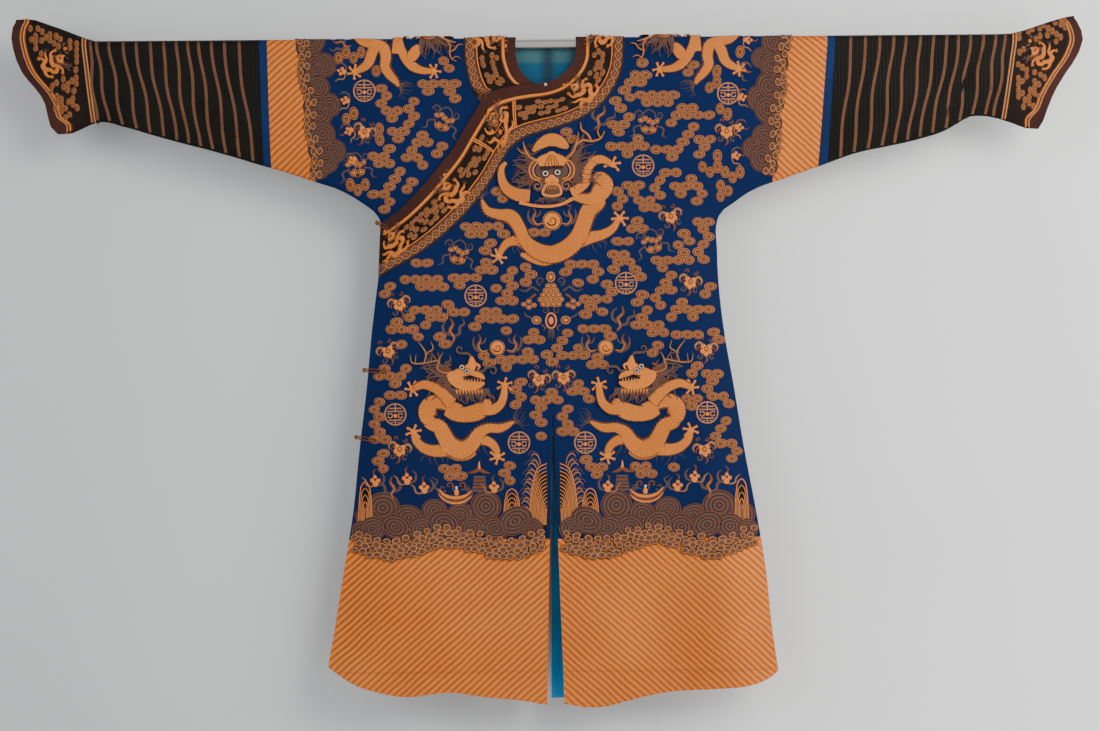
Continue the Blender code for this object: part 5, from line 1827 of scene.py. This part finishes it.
def on_collar(points):
    """Collar places, the run along it and the distance out from the neck, as x and v of the pattern."""
    shares, grid, run = COLLAR
    row = np.clip(np.interp(points[:, 0], run, np.arange(len(run))), 0, len(run) - 1.001)
    column = np.clip(
        (points[:, 1] / COLLAR_WIDTH - shares[0]) / (shares[1] - shares[0]), 0, len(shares) - 1.001
    )
    i, j = row.astype(int), column.astype(int)
    a, b = (row - i)[:, None], (column - j)[:, None]
    place = (grid[j, i] * (1 - a) + grid[j, i + 1] * a) * (1 - b) + (
        grid[j + 1, i] * (1 - a) + grid[j + 1, i + 1] * a
    ) * b
    return np.column_stack((place[:, 0], place[:, 1] + FOLD + shoulder_centre(place[:, 0])))


class Ground:
    """Which parts of the pattern are taken, on a grid of small cells over x and v."""

    def __init__(self, left, right, low, high, cell):
        """Lays an empty grid over the given field."""
        self.left, self.right, self.low, self.high, self.cell = left, right, low, high, cell
        xs = np.arange(left + cell / 2, right, cell)
        vs = np.arange(low + cell / 2, high, cell)
        self.taken = np.zeros((len(vs), len(xs)), bool)
        self.x, self.v = [part.ravel() for part in np.meshgrid(xs, vs)]

    def window(self, x, v, radius):
        """The cells near a place and which of them are within a radius."""
        row, column = int((v - self.low) / self.cell), int((x - self.left) / self.cell)
        reach = int(math.ceil(radius / self.cell))
        low, left = max(row - reach, 0), max(column - reach, 0)
        part = self.taken[low:max(row + reach + 1, 0), left:max(column + reach + 1, 0)]
        rise = np.arange(low, low + part.shape[0])[:, None] - row
        run = np.arange(left, left + part.shape[1])[None] - column
        return part, rise**2 + run**2 <= (radius / self.cell) ** 2

    def take(self, x, v, radius):
        """Takes the cells within a radius of a place."""
        part, disc = self.window(x, v, radius)
        part |= disc

    def block(self, off):
        """Takes every cell that is marked as off the ground."""
        self.taken |= off.reshape(self.taken.shape)

    def free(self, x, v, radius):
        """Says whether nothing is taken within a radius of a place."""
        if not self.left < x < self.right or not self.low < v < self.high:
            return False
        part, disc = self.window(x, v, radius)
        return not (part & disc).any()

    def take_work(self, work, start, margin):
        """Takes the places of everything that a needlework gained since a count."""
        for points in work.points[start:]:
            for x, v, _ in points[::3]:
                self.take(x, v, margin)


def back_v(z, x=0.0):
    """The v of a height on the back."""
    return 2 * (FOLD + float(shoulder_centre(x))) - z


def mark_ground(ground):
    """Takes the cells off the blue ground: past the seams, on the collar and under the borders."""
    x, v = ground.x, ground.v
    top = FOLD + shoulder_centre(x)
    z = np.where(v < top, v, 2 * top - v)
    sides = []
    for edge in (of_side(EDGE, LEFT)[:12], of_side(EDGE, RIGHT)[:12]):
        sides.append(np.interp(z, [row[1] for row in edge], [abs(row[0]) for row in edge]))
    side = np.where(x > 0, *sides)
    arm = np.interp(np.abs(x), [row[0] for row in EDGE[10:20]], [row[1] for row in EDGE[10:20]])
    reach = np.where(x > 0, WAVE_REACH[0], WAVE_REACH[1]) + 0.05 * z
    off = np.where(
        z < -0.33, np.abs(x) > side - 0.006, (np.abs(x) > reach) | (z < arm + 0.008) & (np.abs(x) > 0.33)
    )
    off |= (z < CLOUD_LOW) | (z < -0.74) & (np.abs(x) < 0.010)
    off |= (z < -0.80) & (np.abs(x) < 0.045)
    outer = on_collar(np.column_stack((COLLAR[2], np.full(len(COLLAR[2]), 1.02 * COLLAR_WIDTH))))
    inner = on_collar(np.column_stack((COLLAR[2], np.full(len(COLLAR[2]), -0.10 * COLLAR_WIDTH))))
    ring = np.vstack((outer, inner[::-1]))
    near = np.flatnonzero((np.abs(x) < 0.40) & (v > -0.52) & (v < 0.25) & ~off)
    for start in range(0, len(near), CHUNK):
        part = near[start:start + CHUNK]
        places = np.column_stack((x[part], v[part]))
        off[part] |= distance(places, outer) < 0.002
        off[part] |= inside(places, ring)
    off |= (x > -0.066) & (x < 0.06) & (v > -0.075) & (v < 0.06)
    ground.block(off)


def cluster(rng, count):
    """Places of a cloud's lobes on a staggered grid: it grows mostly from its last lobe."""
    cells = [(0, 0)]
    for _ in range(60):
        if len(cells) >= count:
            break
        i, j = cells[-1] if rng.random() < 0.72 else cells[rng.integers(len(cells))]
        odd = j % 2
        ways = (
            (i + 1, j), (i - 1, j), (i + odd, j + 1), (i - 1 + odd, j + 1), (i + odd, j - 1),
            (i - 1 + odd, j - 1)
        )
        new = ways[rng.integers(6)]
        places = [(a + 0.5 * (b % 2), b) for a, b in cells]
        here = (new[0] + 0.5 * (new[1] % 2), new[1])
        touching = sum(abs(a - here[0]) + abs(b - here[1]) * 0.5 < 1.1 for a, b in places)
        if new not in cells and touching <= 2:
            cells.append(new)
    return np.array([((i + 0.5 * (j % 2)) * LOBE_PITCH[0], j * LOBE_PITCH[1]) for i, j in cells])


def fill_clouds(works, ground, rng, scale, upright, sizes, keep=LOBE_KEEP):
    """Fills the free ground with clouds, the large ones first. A work is chosen by the place."""
    for count, tries in sizes:
        for x, v in rng.uniform((ground.left, ground.low), (ground.right, ground.high), (tries, 2)):
            if not ground.free(x, v, LOBE_ROOM * scale):
                continue
            stands = upright(x, v)
            spots = cluster(rng, count) * scale
            spots = (spots[:, ::-1] if stands else spots) + (x, v)
            if not all(ground.free(*spot, LOBE_ROOM * scale) for spot in spots):
                continue
            for k, spot in enumerate(spots):
                wide = rng.uniform(0.0108, 0.0134) * scale
                high = rng.uniform(0.0084, 0.0094) * scale
                turn = rng.uniform(-10, 10) + (90 if stands else 0)
                works(v).stamp(LOBE, *spot, wide, high, turn, 0.0003 * (k % 3) * scale)
            for spot in spots:
                ground.take(*spot, keep * scale)


def foam_edge(x):
    """Height of the foam's lower edge over the hem's gold band."""
    return -1.010 + 0.013 * math.cos(2 * math.pi * (abs(x) - 0.205) / 0.23)


def border(work, rng):
    """Waves, foam and mountains over the hem's gold band, in front and behind."""
    for back in (False, True):
        for side in (RIGHT, LEFT):
            face, mirror = (180, -side) if back else (0, side)
            inner = VENT_SIDE[back][side]
            edge = of_side(EDGE, side)

            def outer(z, room):
                """How far out a motif's middle may lie at a height, with room for its half width."""
                return abs(
                    float(np.interp(z, [row[1] for row in edge[:8]], [row[0] for row in edge[:8]]))
                ) - room

            for k, (x, z, wide, high, turn) in enumerate(WAVES):
                size = rng.uniform(0.95, 1.05)
                x = max(inner + wide, min(x, outer(z, wide * 1.08)))
                base = (0.0 if k < BACK_WAVES else 0.0016) + 0.0003 * rng.random()
                work.stamp(
                    WAVE, side * x, back_v(z) if back else z, wide * size, high * size,
                    face + mirror * turn, base
                )
            for x, foot, top, wide in MOUNTAINS:
                half = x == 0.0
                x = inner + 0.002 if half else min(x, outer(top, wide + 0.004))
                spot = (side * x, back_v(foot) if back else foot, 1.0, face, mirror)
                mountain(work, spot, (top - foot) / MM, wide / MM, half)
            for row in (3, 2, 1, 0):
                x = inner + 0.010 + rng.uniform(0, 0.010)
                while x < outer(foam_edge(x), 0.012):
                    z = foam_edge(x) + FOAM_RISE * row + rng.uniform(-0.003, 0.003)
                    high = rng.uniform(0.0064, 0.0080)
                    v = back_v(z) if back else z
                    work.stamp(
                        FOAM, side * x, v, high * rng.uniform(1.15, 1.45), high, rng.uniform(-30, 30),
                        0.0024 + 0.0003 * (3 - row)
                    )
                    x += FOAM_PITCH * rng.uniform(0.8, 1.1) * (1.0 if row < 3 else 1.5)


def mountain(work, spot, top, wide, half):
    """A peak of nested arches. Half a peak stands against the vent, with spray that curls off it."""
    count = int(wide / 2.7)
    for t in np.linspace(0.0, 0.80, 10):
        reach = wide * (1 - 0.55 * t * t)
        strand(
            work, spot, [(0 if half else -reach, top * t, top * 0.14), (reach, top * t, top * 0.14)],
            DARK, 0.0002, 0.0002, step=6.0
        )
    for k in range(count):
        share = 1 - k / count
        reach, high = wide * share, top * (0.20 + 0.80 * share)
        arch = [
            (0, high, 1.9), (reach * 0.42, high * 0.94, 1.9), (reach * 0.76, high * 0.70, 1.9),
            (reach * 0.92, high * 0.36, 1.9), (reach, 0, 1.9)
        ]
        if not half:
            arch = [(-x, y, w) for x, y, w in arch[:0:-1]] + arch
        strand(work, spot, arch, PALE if k % 3 else GOLD, 0.0008, 0.0005, step=5.0)
    if half:
        for k, t in enumerate(np.linspace(0.12, 1.04, 13)):
            x, y = wide * (1 - 0.55 * t * t), top * t
            reach = 24 if k % 2 else 30
            for share, ink in ((1.0, DUSK), (0.74, PALE)):
                bend = [
                    (x - 2, y - 8, 1.8), (x + reach * share * 0.16, y + reach * share * 0.5, 2.0),
                    (x + reach * share * 0.52, y + reach * share * 0.66, 1.8),
                    (x + reach * share * 0.76, y + reach * share * 0.40, 1.0)
                ]
                strand(work, spot, bend, ink, 0.0005, 0.0002)


def sleeve_border(work, rng):
    """Waves and foam along the inner edge of the sleeve's gold band, all round."""
    for side, limit in ((LEFT, SLEEVE_BAND[0]), (RIGHT, SLEEVE_BAND[1])):
        low = -0.258
        top = FOLD + float(shoulder_centre(side * limit))
        for shift, wide, pitch in (
            (-0.046, 0.025, 0.088), (-0.026, 0.028, 0.047), (-0.012, 0.022, 0.040)
        ):
            v = low - shift
            while v < 2 * top - low:
                z = v if v < top else 2 * top - v
                x = limit + 0.11 * z + shift
                work.stamp(
                    WAVE, side * x, v, wide * rng.uniform(0.85, 1.1), wide * 0.9,
                    side * -90 + rng.uniform(-35, 35), 0.0002 * rng.random()
                )
                v += pitch * rng.uniform(0.85, 1.15)
        for shift, pitch in ((-0.012, 0.024), (0.0, 0.0155)):
            v = low
            while v < 2 * top - low:
                z = v if v < top else 2 * top - v
                x = limit + 0.11 * z + shift + 0.004 * math.sin(v * 60 + side)
                work.stamp(
                    FOAM, side * x, v, 0.0095 * rng.uniform(0.9, 1.1), 0.0072, 90 + rng.uniform(-25, 25),
                    0.0012
                )
                v += pitch * rng.uniform(0.9, 1.1)
        for v in np.arange(low + 0.03, 2 * top - low - 0.03, 0.058):
            z = v if v < top else 2 * top - v
            spot = (side * (limit + 0.11 * z - 0.083), v, 0.8, side * -90 + rng.uniform(-30, 30), side)
            (treasure if rng.random() < 0.6 else flame)(work, spot)


def treasure(work, spot):
    """A small gold jewel with curled ribbons."""
    for x, y, size in ((0, 0, 6.5), (7, 7, 4.5), (-6, 7, 4.5), (1, 14, 4.0)):
        dot(work, spot, BEAD, x, y, size, base=0.0006)
    strand(work, spot, [(4, -6, 3), (17, -4, 5), (22, 8, 4), (30, 14, 1)], DUSK)
    strand(work, spot, [(-4, -4, 3), (-16, 2, 5), (-18, 16, 4), (-10, 24, 1)], DUSK)
    strand(work, spot, [(4, -6, 1.4), (17, -4, 1.8), (22, 8, 1.6), (29, 13, 1)], PALE, base=0.0007)
    strand(work, spot, [(0, 16, 2), (4, 24, 3), (-2, 32, 1)], COPPER)


def boat(work, spot):
    """A small dragon boat with a figure in it."""
    strand(
        work, spot, [(-36, 8, 6), (-20, -4, 18), (6, -7, 21), (26, 2, 13), (38, 14, 5)], DUSK, 0.0004,
        0.0004
    )
    for lift, wide, ink in ((4, 5.5, GOLD), (-2, 3.0, COPPER), (-7, 4.0, GOLD)):
        strand(
            work, spot,
            [
                (-34, 8 + lift, 1.5), (-18, -3 + lift, wide), (6, -6 + lift, wide),
                (26, 2 + lift, wide * 0.8), (36, 13 + lift, 1.5)
            ],
            ink, 0.0006, 0.0009
        )
    for k in range(5):
        strand(
            work, spot, curl(-26 + 13 * k, 18 + 6 * (k % 2), 8, 220, 1.0, 3.6, 1 - 2 * (k % 2)),
            COPPER if k % 2 else DUSK, base=0.0006
        )
    dot(work, spot, PALM, -2, 9, 5, 7, base=0.0010)
    dot(work, spot, SPECK, -2, 19, 3.0, 3.4, base=0.0014)
    strand(work, spot, [(34, 12, 4), (44, 22, 4), (38, 34, 3), (50, 42, 1)], DUSK)


def tower(work, spot):
    """A tiered tower under a small roof."""
    for k in range(5):
        strand(
            work, spot, [(-16 + k, -20 + 7 * k, 5.5), (16 - k, -20 + 7 * k, 5.5)],
            COPPER if k % 2 else DUSK, 0.0006, 0.0004
        )
    strand(
        work, spot, [(-22, 16, 2), (-8, 20, 7), (0, 24, 8), (10, 20, 7), (24, 17, 2)], COPPER, 0.0008,
        0.0006
    )
    strand(work, spot, [(0, 24, 6), (1, 34, 4), (0, 42, 1)], GOLD, 0.0008, 0.0006)
    strand(work, spot, [(14, -20, 3), (30, -16, 4), (42, -20, 1)], DUSK)


def float_toys(work):
    """What floats over the waves in front and behind."""
    for side in (RIGHT, LEFT):
        for back in (False, True):
            for x, z, draw in WAVE_TOYS:
                flip = -side if back else side
                draw(work, (side * x, back_v(z) if back else z, 0.95, 180 if back else 0, flip))


def sleeve_lines(side):
    """The double copper lines round the ribbed sleeve."""
    word = "left" if side == LEFT else "right"
    work = Needlework("sleeve_lines_" + word, [line_thread], 0.0002)
    lower = of_side(EDGE, side)
    lower_x = [abs(row[0]) for row in lower[17:28]]
    lower_z = [row[1] for row in lower[17:28]]
    for k, (top_x, low_x) in enumerate(SLEEVE_LINES[side]):
        foot = float(np.interp(low_x, lower_x, lower_z)) + 0.004
        for shift in (-LINE_WIDTH * 0.55, LINE_WIDTH * 0.55):
            rows = []
            for t in np.linspace(0, 1, 12):
                sway = 0.0042 * math.sin(t * 6 + k * 0.9) * math.sin(t * math.pi)
                rows.append((side * (top_x + (low_x - top_x) * t + sway + shift), foot * t, LINE_WIDTH))
            top = FOLD + shoulder_centre(np.array([rows[0][0]]))[0]
            behind = [(x, 2 * top - v, w) for x, v, w in rows[::-1] if v < -0.001]
            work.ribbon(behind + [(rows[0][0], top, LINE_WIDTH)] + rows[1:], 0, 0.0006, 0.0, 3, 0.008)
    return work.lay("black_silk")


def cuff_work(side):
    """Clouds, a small dragon and gold border lines on the hoof cuff, front and back."""
    word = "left" if side == LEFT else "right"
    work = Needlework("cuff_embroidery_" + word, THREADS, 0.0002)
    edge = edge_curve(side)
    rng = np.random.default_rng(7 + side)
    for shift, width, ink in CUFF_LINES:
        line = mouth(edge, side, shift)
        v = line[:, 1] + FOLD + shoulder_centre(line[:, 0])
        rows = np.column_stack((line[:, 0], v, np.full(len(line), width)))
        work.ribbon(rows, ink, 0.0007, 0.0, 3, 0.005)
    inner = across(side, SLEEVE_END, SEAM_GAP)
    v = inner[:, 1] + FOLD + shoulder_centre(inner[:, 0])
    for shift, width, ink in ((0.0026, 0.0030, PALE), (0.0060, 0.0016, COPPER), (0.0088, 0.0026, PALE)):
        rows = np.column_stack((inner[:, 0] + side * shift, v, np.full(len(inner), width)))
        work.ribbon(rows, ink, 0.0007, 0.0, 3, 0.005)
    low_x, high_x = sorted((side * 0.92, side * 1.07))
    ground = Ground(low_x, high_x, -0.17, 0.28, 0.001)
    top = FOLD + shoulder_centre(ground.x)
    z = np.where(ground.v < top, ground.v, 2 * top - ground.v)
    ground.block(~inside(np.column_stack((np.abs(ground.x), z)), np.array(CUFF_FIELD)))
    for face in (FRONT, BACK):
        v_at = -0.030 if face == FRONT else 2 * (FOLD + float(shoulder_centre(side * 0.985))) + 0.030
        start = len(work.points)
        dragon(
            work,
            (
                side * 0.985, v_at, 0.26, 70 * side + (0 if face == FRONT else 180),
                side if face == FRONT else -side
            ),
            WALKING_DRAGON, "side"
        )
        ground.take_work(work, start, 0.001)
    fill_clouds(
        lambda v: work, ground, rng, 0.56, lambda x, v: True,
        ((6, 1200), (4, 2500), (2, 4000), (1, 6000)), 0.0138
    )
    return work.lay("black_silk")


def collar_work():
    """Dragons and clouds on the black band, the gold cord beside it and the loops on the ribbon."""
    work = Needlework("collar_embroidery", THREADS, TRIM_LIFT + TRIM_WALL + 0.0002, on_collar)
    length = COLLAR[2][-1]
    low, high = BINDING_SHARE * COLLAR_WIDTH, BAND_SHARE * COLLAR_WIDTH

    def line(place, width, ink, height=0.0006, sway=0.0, pitch=1.0, phase=0.0):
        """One line of thread along the whole collar."""
        s = np.arange(0.004, length - 0.004, 0.003)
        t = place + sway * np.sin(s / pitch * 2 * math.pi + phase)
        work.ribbon(np.column_stack((s, t, np.full(len(s), width))), ink, height, 0.0, 3, 0.003)

    line(low + 0.0028, 0.0052, GOLD, 0.0014)
    line(low + 0.0068, 0.0016, COPPER)
    line(high - 0.0022, 0.0020, GOLD)
    line(high + 0.0016, 0.0014, COPPER)
    line(0.0985, 0.0018, DARK)
    for phase in (0.0, math.pi):
        line(0.0880, 0.0018, PALE, 0.0007, 0.0068, 0.030, phase)
        line(0.0880, 0.0012, COPPER, 0.0005, 0.0038, 0.030, phase)
    inner = on_collar(np.column_stack((COLLAR[2], np.full(len(COLLAR[2]), 0.004))))
    nearest = np.argmin(np.hypot(inner[:, 0] - NECK_STITCH[0], inner[:, 1] - NECK_STITCH[1]))
    work.stamp(SPECK, float(COLLAR[2][nearest]), 0.004, 0.0035, 0.0035, 0.0, 0.0004)
    for s in np.arange(0.0075, length - 0.01, 0.015):
        work.stamp(BUD, s, 0.0880, 0.0032, 0.0018, 0.0, 0.0002)
    ground = Ground(0.0, length, low, high, 0.001)
    ground.block(
        (ground.v < low + 0.011) | (ground.v > high - 0.006) | (ground.x < 0.008) | (
            ground.x > length - 0.008
        )
    )
    middle = (low + high) / 2 + 0.002
    for kind, s, flip in COLLAR_MOTIFS:
        start = len(work.points)
        if kind == "dragon":
            dragon(work, (s, middle, 0.275, 180, flip), WALKING_DRAGON, "side")
        else:
            dragon(work, (s, middle + 0.003, 0.26, 180, 1), CHEST_DRAGON, "front")
            for edge_s, lean in ((s - 0.052, 0.014), (s + 0.052, -0.014)):
                for shift in (0.0, 0.004):
                    work.ribbon(
                        [
                            (edge_s + shift, low + 0.006, 0.0022),
                            (edge_s + lean + shift, high - 0.003, 0.0022)
                        ],
                        GOLD, 0.0006
                    )
        ground.take_work(work, start, 0.0012)
    rng = np.random.default_rng(5)
    fill_clouds(
        lambda v: work, ground, rng, 0.56, lambda x, v: False,
        ((6, 3500), (4, 4000), (2, 6000), (1, 8000)), 0.0120
    )
    return work.lay("black_silk")


def motif_work():
    """The dragons, badges and small emblems on the blue ground, then the clouds between them."""
    ground = Ground(-GROUND_X, GROUND_X, GROUND_LOW, GROUND_TOP, 0.002)
    mark_ground(ground)
    names = ("dragons_front", "dragons_back", "wave_borders", "clouds_front", "clouds_back")
    front, back, waves, clouds, clouds_back = works = [Needlework(name, THREADS) for name in names]
    dragon(front, (0.0046, -0.3126, 1.0, 0, 1), CHEST_DRAGON, "front")
    dragon(front, (-0.1746, -0.7212, 1.0, 0, 1), WALKING_DRAGON, "side")
    dragon(front, (0.1814, -0.7221, 1.0, 0, -1), WALKING_DRAGON, "side")
    dragon(back, (0.0, back_v(-0.330), 1.0, 180, 1), CHEST_DRAGON, "front")
    dragon(back, (0.178, back_v(-0.7221), 1.0, 180, 1), WALKING_DRAGON, "side")
    dragon(back, (-0.178, back_v(-0.7221), 1.0, 180, -1), WALKING_DRAGON, "side")
    shoulder_dragon(front, (-0.3047, 0.0139, 1.0, 0, 1))
    shoulder_dragon(front, (0.3013, 0.0139, 1.0, 0, -1))
    canopy(front, (0.0029, -0.5286, 1.0, 0, 1))
    for table, draw in ((MEDALLIONS, medallion), (BASKETS, basket), (LEAVES, bat), (FLAMES, flame)):
        for k, (x, z) in enumerate(table):
            turn = (17 * k) % 40 - 20 if draw is not medallion else 0
            draw(front, (x, z, 1.0, turn, 1))
            if z < -0.14 or abs(x) > 0.17:
                draw(back, (-x, back_v(z), 1.0, turn + 180, 1))
    rng = np.random.default_rng(11)
    border(waves, rng)
    sleeve_border(waves, rng)
    float_toys(waves)
    for work in (front, back, waves):
        ground.take_work(work, 0, 0.001)
    fill_clouds(
        lambda v: clouds if v < FOLD else clouds_back, ground, rng, 1.0,
        lambda x, v: abs(x) > 0.335 and (v if v < FOLD else 2 * FOLD - v) > -0.30, CLOUD_SIZES,
    )
    return [work.lay("blue_silk") for work in works]


def build_cloth():
    """Every piece of cloth, finer than in the frame."""
    pieces = [build_body_left(), build_body_right(), build_overlap()]
    for side in (LEFT, RIGHT):
        pieces.append(build_lining(side))
        pieces.extend(build_sleeve_parts(side))
    return pieces + build_collar()


def declare_sheets(pieces):
    """Works out how each piece was cut, by its pattern's box or by a strip's width and length from its
    area, and passes nothing on.
    """
    for piece in pieces:
        area, outline = sizes[piece.name]
        node = piece.name.removesuffix("_cloth")
        if node in STRIPS:
            length = float(np.hypot(*(outline - np.roll(outline, 1, axis=0)).T).sum()) / 2
            width = area / length
        else:
            width, length = (float(side) for side in np.ptp(outline, axis=0))


def build_studio():
    """Pale wall and floor, soft lights and the camera."""
    for name, size, place, turn in (
        ("wall", 12.0, (0.0, WALL_Y, 1.0), math.pi / 2), ("floor", 12.0, (0.0, -4.0, FLOOR_Z), 0.0)
    ):
        shape = bmesh.new()
        bmesh.ops.create_grid(shape, x_segments=1, y_segments=1, size=size / 2)
        mesh = bpy.data.meshes.new(name)
        shape.to_mesh(mesh)
        shape.free()
        mesh.materials.append(wall_paint)
        obj = bpy.data.objects.new(name, mesh)
        obj.location = place
        obj.rotation_euler = (turn, 0.0, 0.0)
        bpy.context.scene.collection.objects.link(obj)
    for name, place, aim, size, power, colour in LIGHTS:
        lamp = bpy.data.lights.new(name, "AREA")
        lamp.shape = "RECTANGLE"
        lamp.size, lamp.size_y = size
        lamp.energy = power
        lamp.color = colour
        obj = bpy.data.objects.new(name, lamp)
        obj.location = place
        obj.rotation_euler = (Vector(aim) - Vector(place)).to_track_quat("-Z", "Y").to_euler()
        bpy.context.scene.collection.objects.link(obj)
    world = bpy.data.worlds.new("studio")
    world.use_nodes = True
    world.node_tree.nodes["Background"].inputs["Color"].default_value = (0.80, 0.84, 0.90, 1.0)
    world.node_tree.nodes["Background"].inputs["Strength"].default_value = 0.55
    bpy.context.scene.world = world
    camera = bpy.data.cameras.new("camera")
    camera.lens = CAMERA_LENS
    camera.clip_end = 40.0
    obj = bpy.data.objects.new("camera", camera)
    obj.location = (0.0, -CAMERA_DISTANCE, CAMERA_Z)
    obj.rotation_euler = (math.pi / 2, CAMERA_ROLL, 0.0)
    bpy.context.scene.collection.objects.link(obj)
    bpy.context.scene.camera = obj


SEAMS = {LEFT: edge_curve(LEFT), RIGHT: edge_curve(RIGHT)}
COLLAR = collar_grid()

# Each thread gives its colour, a darker tone for stitch changes and painted shade, and a lit copy for its
# painted highlight.
gold_thread = thread("gold thread", (250, 132, 38), (186, 82, 16), (255, 178, 84), metallic=0.12)
pale_thread = thread(
    "pale gold thread", (196, 126, 72), (142, 82, 42), (226, 164, 108), metallic=0.2, rough=0.48
)
copper_thread = thread(
    "copper thread", (122, 66, 34), (78, 38, 18), (158, 94, 52), metallic=0.15, rough=0.50
)
line_thread = thread("line thread", (112, 70, 46), (72, 42, 28), (150, 104, 74), metallic=0.1, rough=0.55)
dusk_thread = thread("dusk thread", (92, 68, 62), (46, 40, 50), (134, 102, 84), metallic=0.0, rough=0.58)
dark_thread = thread("dark thread", (24, 17, 18), (9, 9, 16), (44, 32, 28), metallic=0.0, rough=0.6)
scale_thread = thread(
    "scaled gold thread", (252, 134, 38), (178, 78, 16), (255, 180, 86), metallic=0.12, scales=True
)
white_thread = thread(
    "white thread", (206, 208, 200), (120, 140, 138), (235, 235, 228), metallic=0.0, rough=0.6
)
THREADS = [gold_thread, pale_thread, copper_thread, dusk_thread, dark_thread, scale_thread, white_thread]
silk = robe_silk()
teal = lining_silk()
blue_silk = [silk, teal]
teal_silk = [teal]
piping_silk = [plain_silk("dark blue ribbed silk", (6, 26, 60), (14, 40, 84), 0.0011, 0.55, 0.0), teal]
sleeve_silk = [plain_silk("black ribbed silk", (11, 9, 5), (22, 18, 13), 0.0011, 0.5, 0.0075, 0.10), teal]
black_silk = [plain_silk("black silk", (16, 9, 6), (30, 19, 13), 0.0010, 0.55), teal]
brown_silk = [plain_silk("brown binding silk", (44, 22, 18), (66, 34, 26), 0.0022, 0.6)]
gold_ribbon = [ribbon_silk()]
steel = metal("satin steel", (196, 190, 184), 0.28, (0.02, 1.0, 1.0))
brass = metal("aged brass", (136, 78, 34), 0.34, (1.0, 1.0, 1.0))
cord = thread("brown cord", (74, 34, 24), (34, 14, 10), (120, 66, 44), metallic=0.0, rough=0.6)
# The wall and floor paint carries painted light, lighter to the right.
wall_paint = paint("studio wall with painted light", (206, 208, 208), (255, 255, 254), 0.85)

WAVE_TOYS = (
    (0.113, -0.890, treasure), (0.142, -0.872, tower), (0.190, -0.903, boat), (0.252, -0.890, treasure),
    (0.286, -0.872, treasure), (0.316, -0.884, flame), (0.350, -0.876, treasure)
)
LOBE = round_motif(((0.90, 0.0005, PALE), (0.60, 0.0003, COPPER), (0.46, 0.0008, PALE)), 12, COPPER)
FOAM = round_motif(((0.84, 0.0004, DARK), (0.64, 0.0007, PALE), (0.36, 0.0003, COPPER)), 10, DUSK)
WAVE = round_motif(
    [
        (
            1.0 - 0.062 * (k + 1), 0.0002 if k % 2 else 0.0006,
            DARK if k % 4 == 1 else (COPPER, DUSK)[k // 2 % 2]
        ) for k in range(14)
    ],
    24, DUSK
)
BUD = round_motif(((0.78, 0.0006, PALE), (0.40, 0.0008, COPPER)), 10, GOLD)
BEAD = round_motif(((0.6, 0.0008, GOLD),), 10, GOLD)
PALM = round_motif(((0.55, 0.0009, GOLD),), 10, GOLD)
PEARL = round_motif(
    ((0.93, 0.0006, PALE), (0.84, 0.0001, DARK), (0.76, 0.0008, GOLD), (0.3, 0.0012, GOLD)), 24, GOLD
)
SPECK = round_motif(((0.6, 0.0012, WHITE),), 10, WHITE)
EYE = round_motif(
    ((0.84, 0.0006, DARK), (0.66, 0.0009, PALE), (0.42, 0.0012, WHITE), (0.36, 0.0010, DARK)), 16, DARK
)

cloths = build_cloth()
blue_work = motif_work()
for half in (LEFT, RIGHT):
    sleeve_lines(half)
    cuff_work(half)
collar_work()
for name in (
    "rod", "button_neck", "button_underarm", "button_side_upper", "button_side_lower", "loop_neck",
    "loop_underarm", "loop_side_upper", "loop_side_lower"
):
    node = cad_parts[name]
    node.data.materials.clear()
    node.data.materials.append(steel if name == "rod" else brass if name.startswith("button") else cord)
declare_sheets(cloths)
build_studio()
